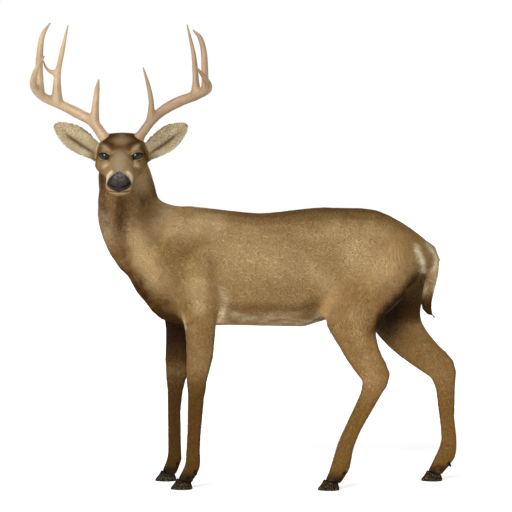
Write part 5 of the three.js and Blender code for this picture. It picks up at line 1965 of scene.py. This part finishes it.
def studio_floor(settings):
    mesh = bpy.data.meshes.new("floor")
    with editing(mesh) as bm:
        bmesh.ops.create_circle(bm, cap_ends=True, segments=96, radius=FLOOR_RADIUS)
    mesh.materials.append(Nodes("pale floor").finish(linear(settings.floor), 0.9,
        Specular_IOR_Level=0.1, Emission_Color=(1, 1, 1, 1), Emission_Strength=settings.glow))
    new_object("floor", mesh)


def studio_lights(settings):
    for name, around, rise, spread in LIGHTS:
        light = bpy.data.lights.new(name, "SUN")
        light.energy = getattr(settings, name)
        light.angle = math.radians(spread)
        turn, lift = math.radians(around), math.radians(rise)
        way = Vector((math.sin(turn) * math.cos(lift), -math.cos(turn) * math.cos(lift),
            math.sin(lift)))
        new_object(name, light).rotation_euler = way.to_track_quat("Z", "Y").to_euler()


def studio_camera(settings):
    camera = bpy.data.cameras.new("camera")
    camera.lens = settings.lens
    camera.sensor_width = SENSOR_WIDTH
    camera.clip_end = FARTHEST
    eye = new_object("camera", camera)
    eye.location = CAMERA_AT
    eye.rotation_euler = (math.pi / 2 - math.atan2(HORIZON_RISE, FOCAL_PIXELS), 0, 0)
    return eye


class DEER_OT_stage(bpy.types.Operator):
    """Set the pale floor, the soft studio light and the camera"""

    bl_idname = "deer.stage"
    bl_label = "Stage"

    def execute(self, context):
        scene, settings = context.scene, context.scene.deer_stage
        studio_floor(settings)
        studio_lights(settings)
        scene.world = studio_world(settings)
        scene.camera = studio_camera(settings)
        scene.view_settings.view_transform = "Standard"
        return {"FINISHED"}


class DEER_PT_panel(bpy.types.Panel):
    """The deer's operators and settings."""

    bl_idname = "DEER_PT_panel"
    bl_label = "Deer"
    bl_space_type = "VIEW_3D"
    bl_region_type = "UI"
    bl_category = "Deer"

    def draw(self, context):
        column = self.layout.column(align=True)
        for operator in OPERATORS:
            column.operator(operator.bl_idname)
        for key, group in GROUPS.items():
            box = self.layout.box()
            box.label(text=group.__doc__)
            for name in group.__annotations__:
                box.prop(getattr(context.scene, key), name)


OPERATORS = (DEER_OT_skin, DEER_OT_nose, DEER_OT_eyes, DEER_OT_antlers, DEER_OT_hooves, DEER_OT_coat,
    DEER_OT_stage)
GROUPS = {"deer_body": DEER_PG_body, "deer_coat": DEER_PG_coat, "deer_antlers": DEER_PG_antlers,
    "deer_stage": DEER_PG_stage}


def register():
    for group in (*GROUPS.values(), *OPERATORS, DEER_PT_panel):
        bpy.utils.register_class(group)
    for key, group in GROUPS.items():
        setattr(bpy.types.Scene, key, PointerProperty(type=group))


def unregister():
    for key in GROUPS:
        delattr(bpy.types.Scene, key)
    for group in (DEER_PT_panel, *reversed(OPERATORS), *GROUPS.values()):
        bpy.utils.unregister_class(group)


def main():
    """Builds the deer and its stage."""
    register()
    bpy.ops.deer.skin()
    bpy.ops.deer.nose()
    bpy.ops.deer.eyes()
    bpy.ops.deer.antlers()
    bpy.ops.deer.hooves()
    bpy.ops.deer.coat()
    bpy.ops.deer.stage()
    for name in ("coat plan", "nose patch"):
        bpy.data.meshes.remove(bpy.data.meshes[name])


if __name__ == "__main__":
    main()
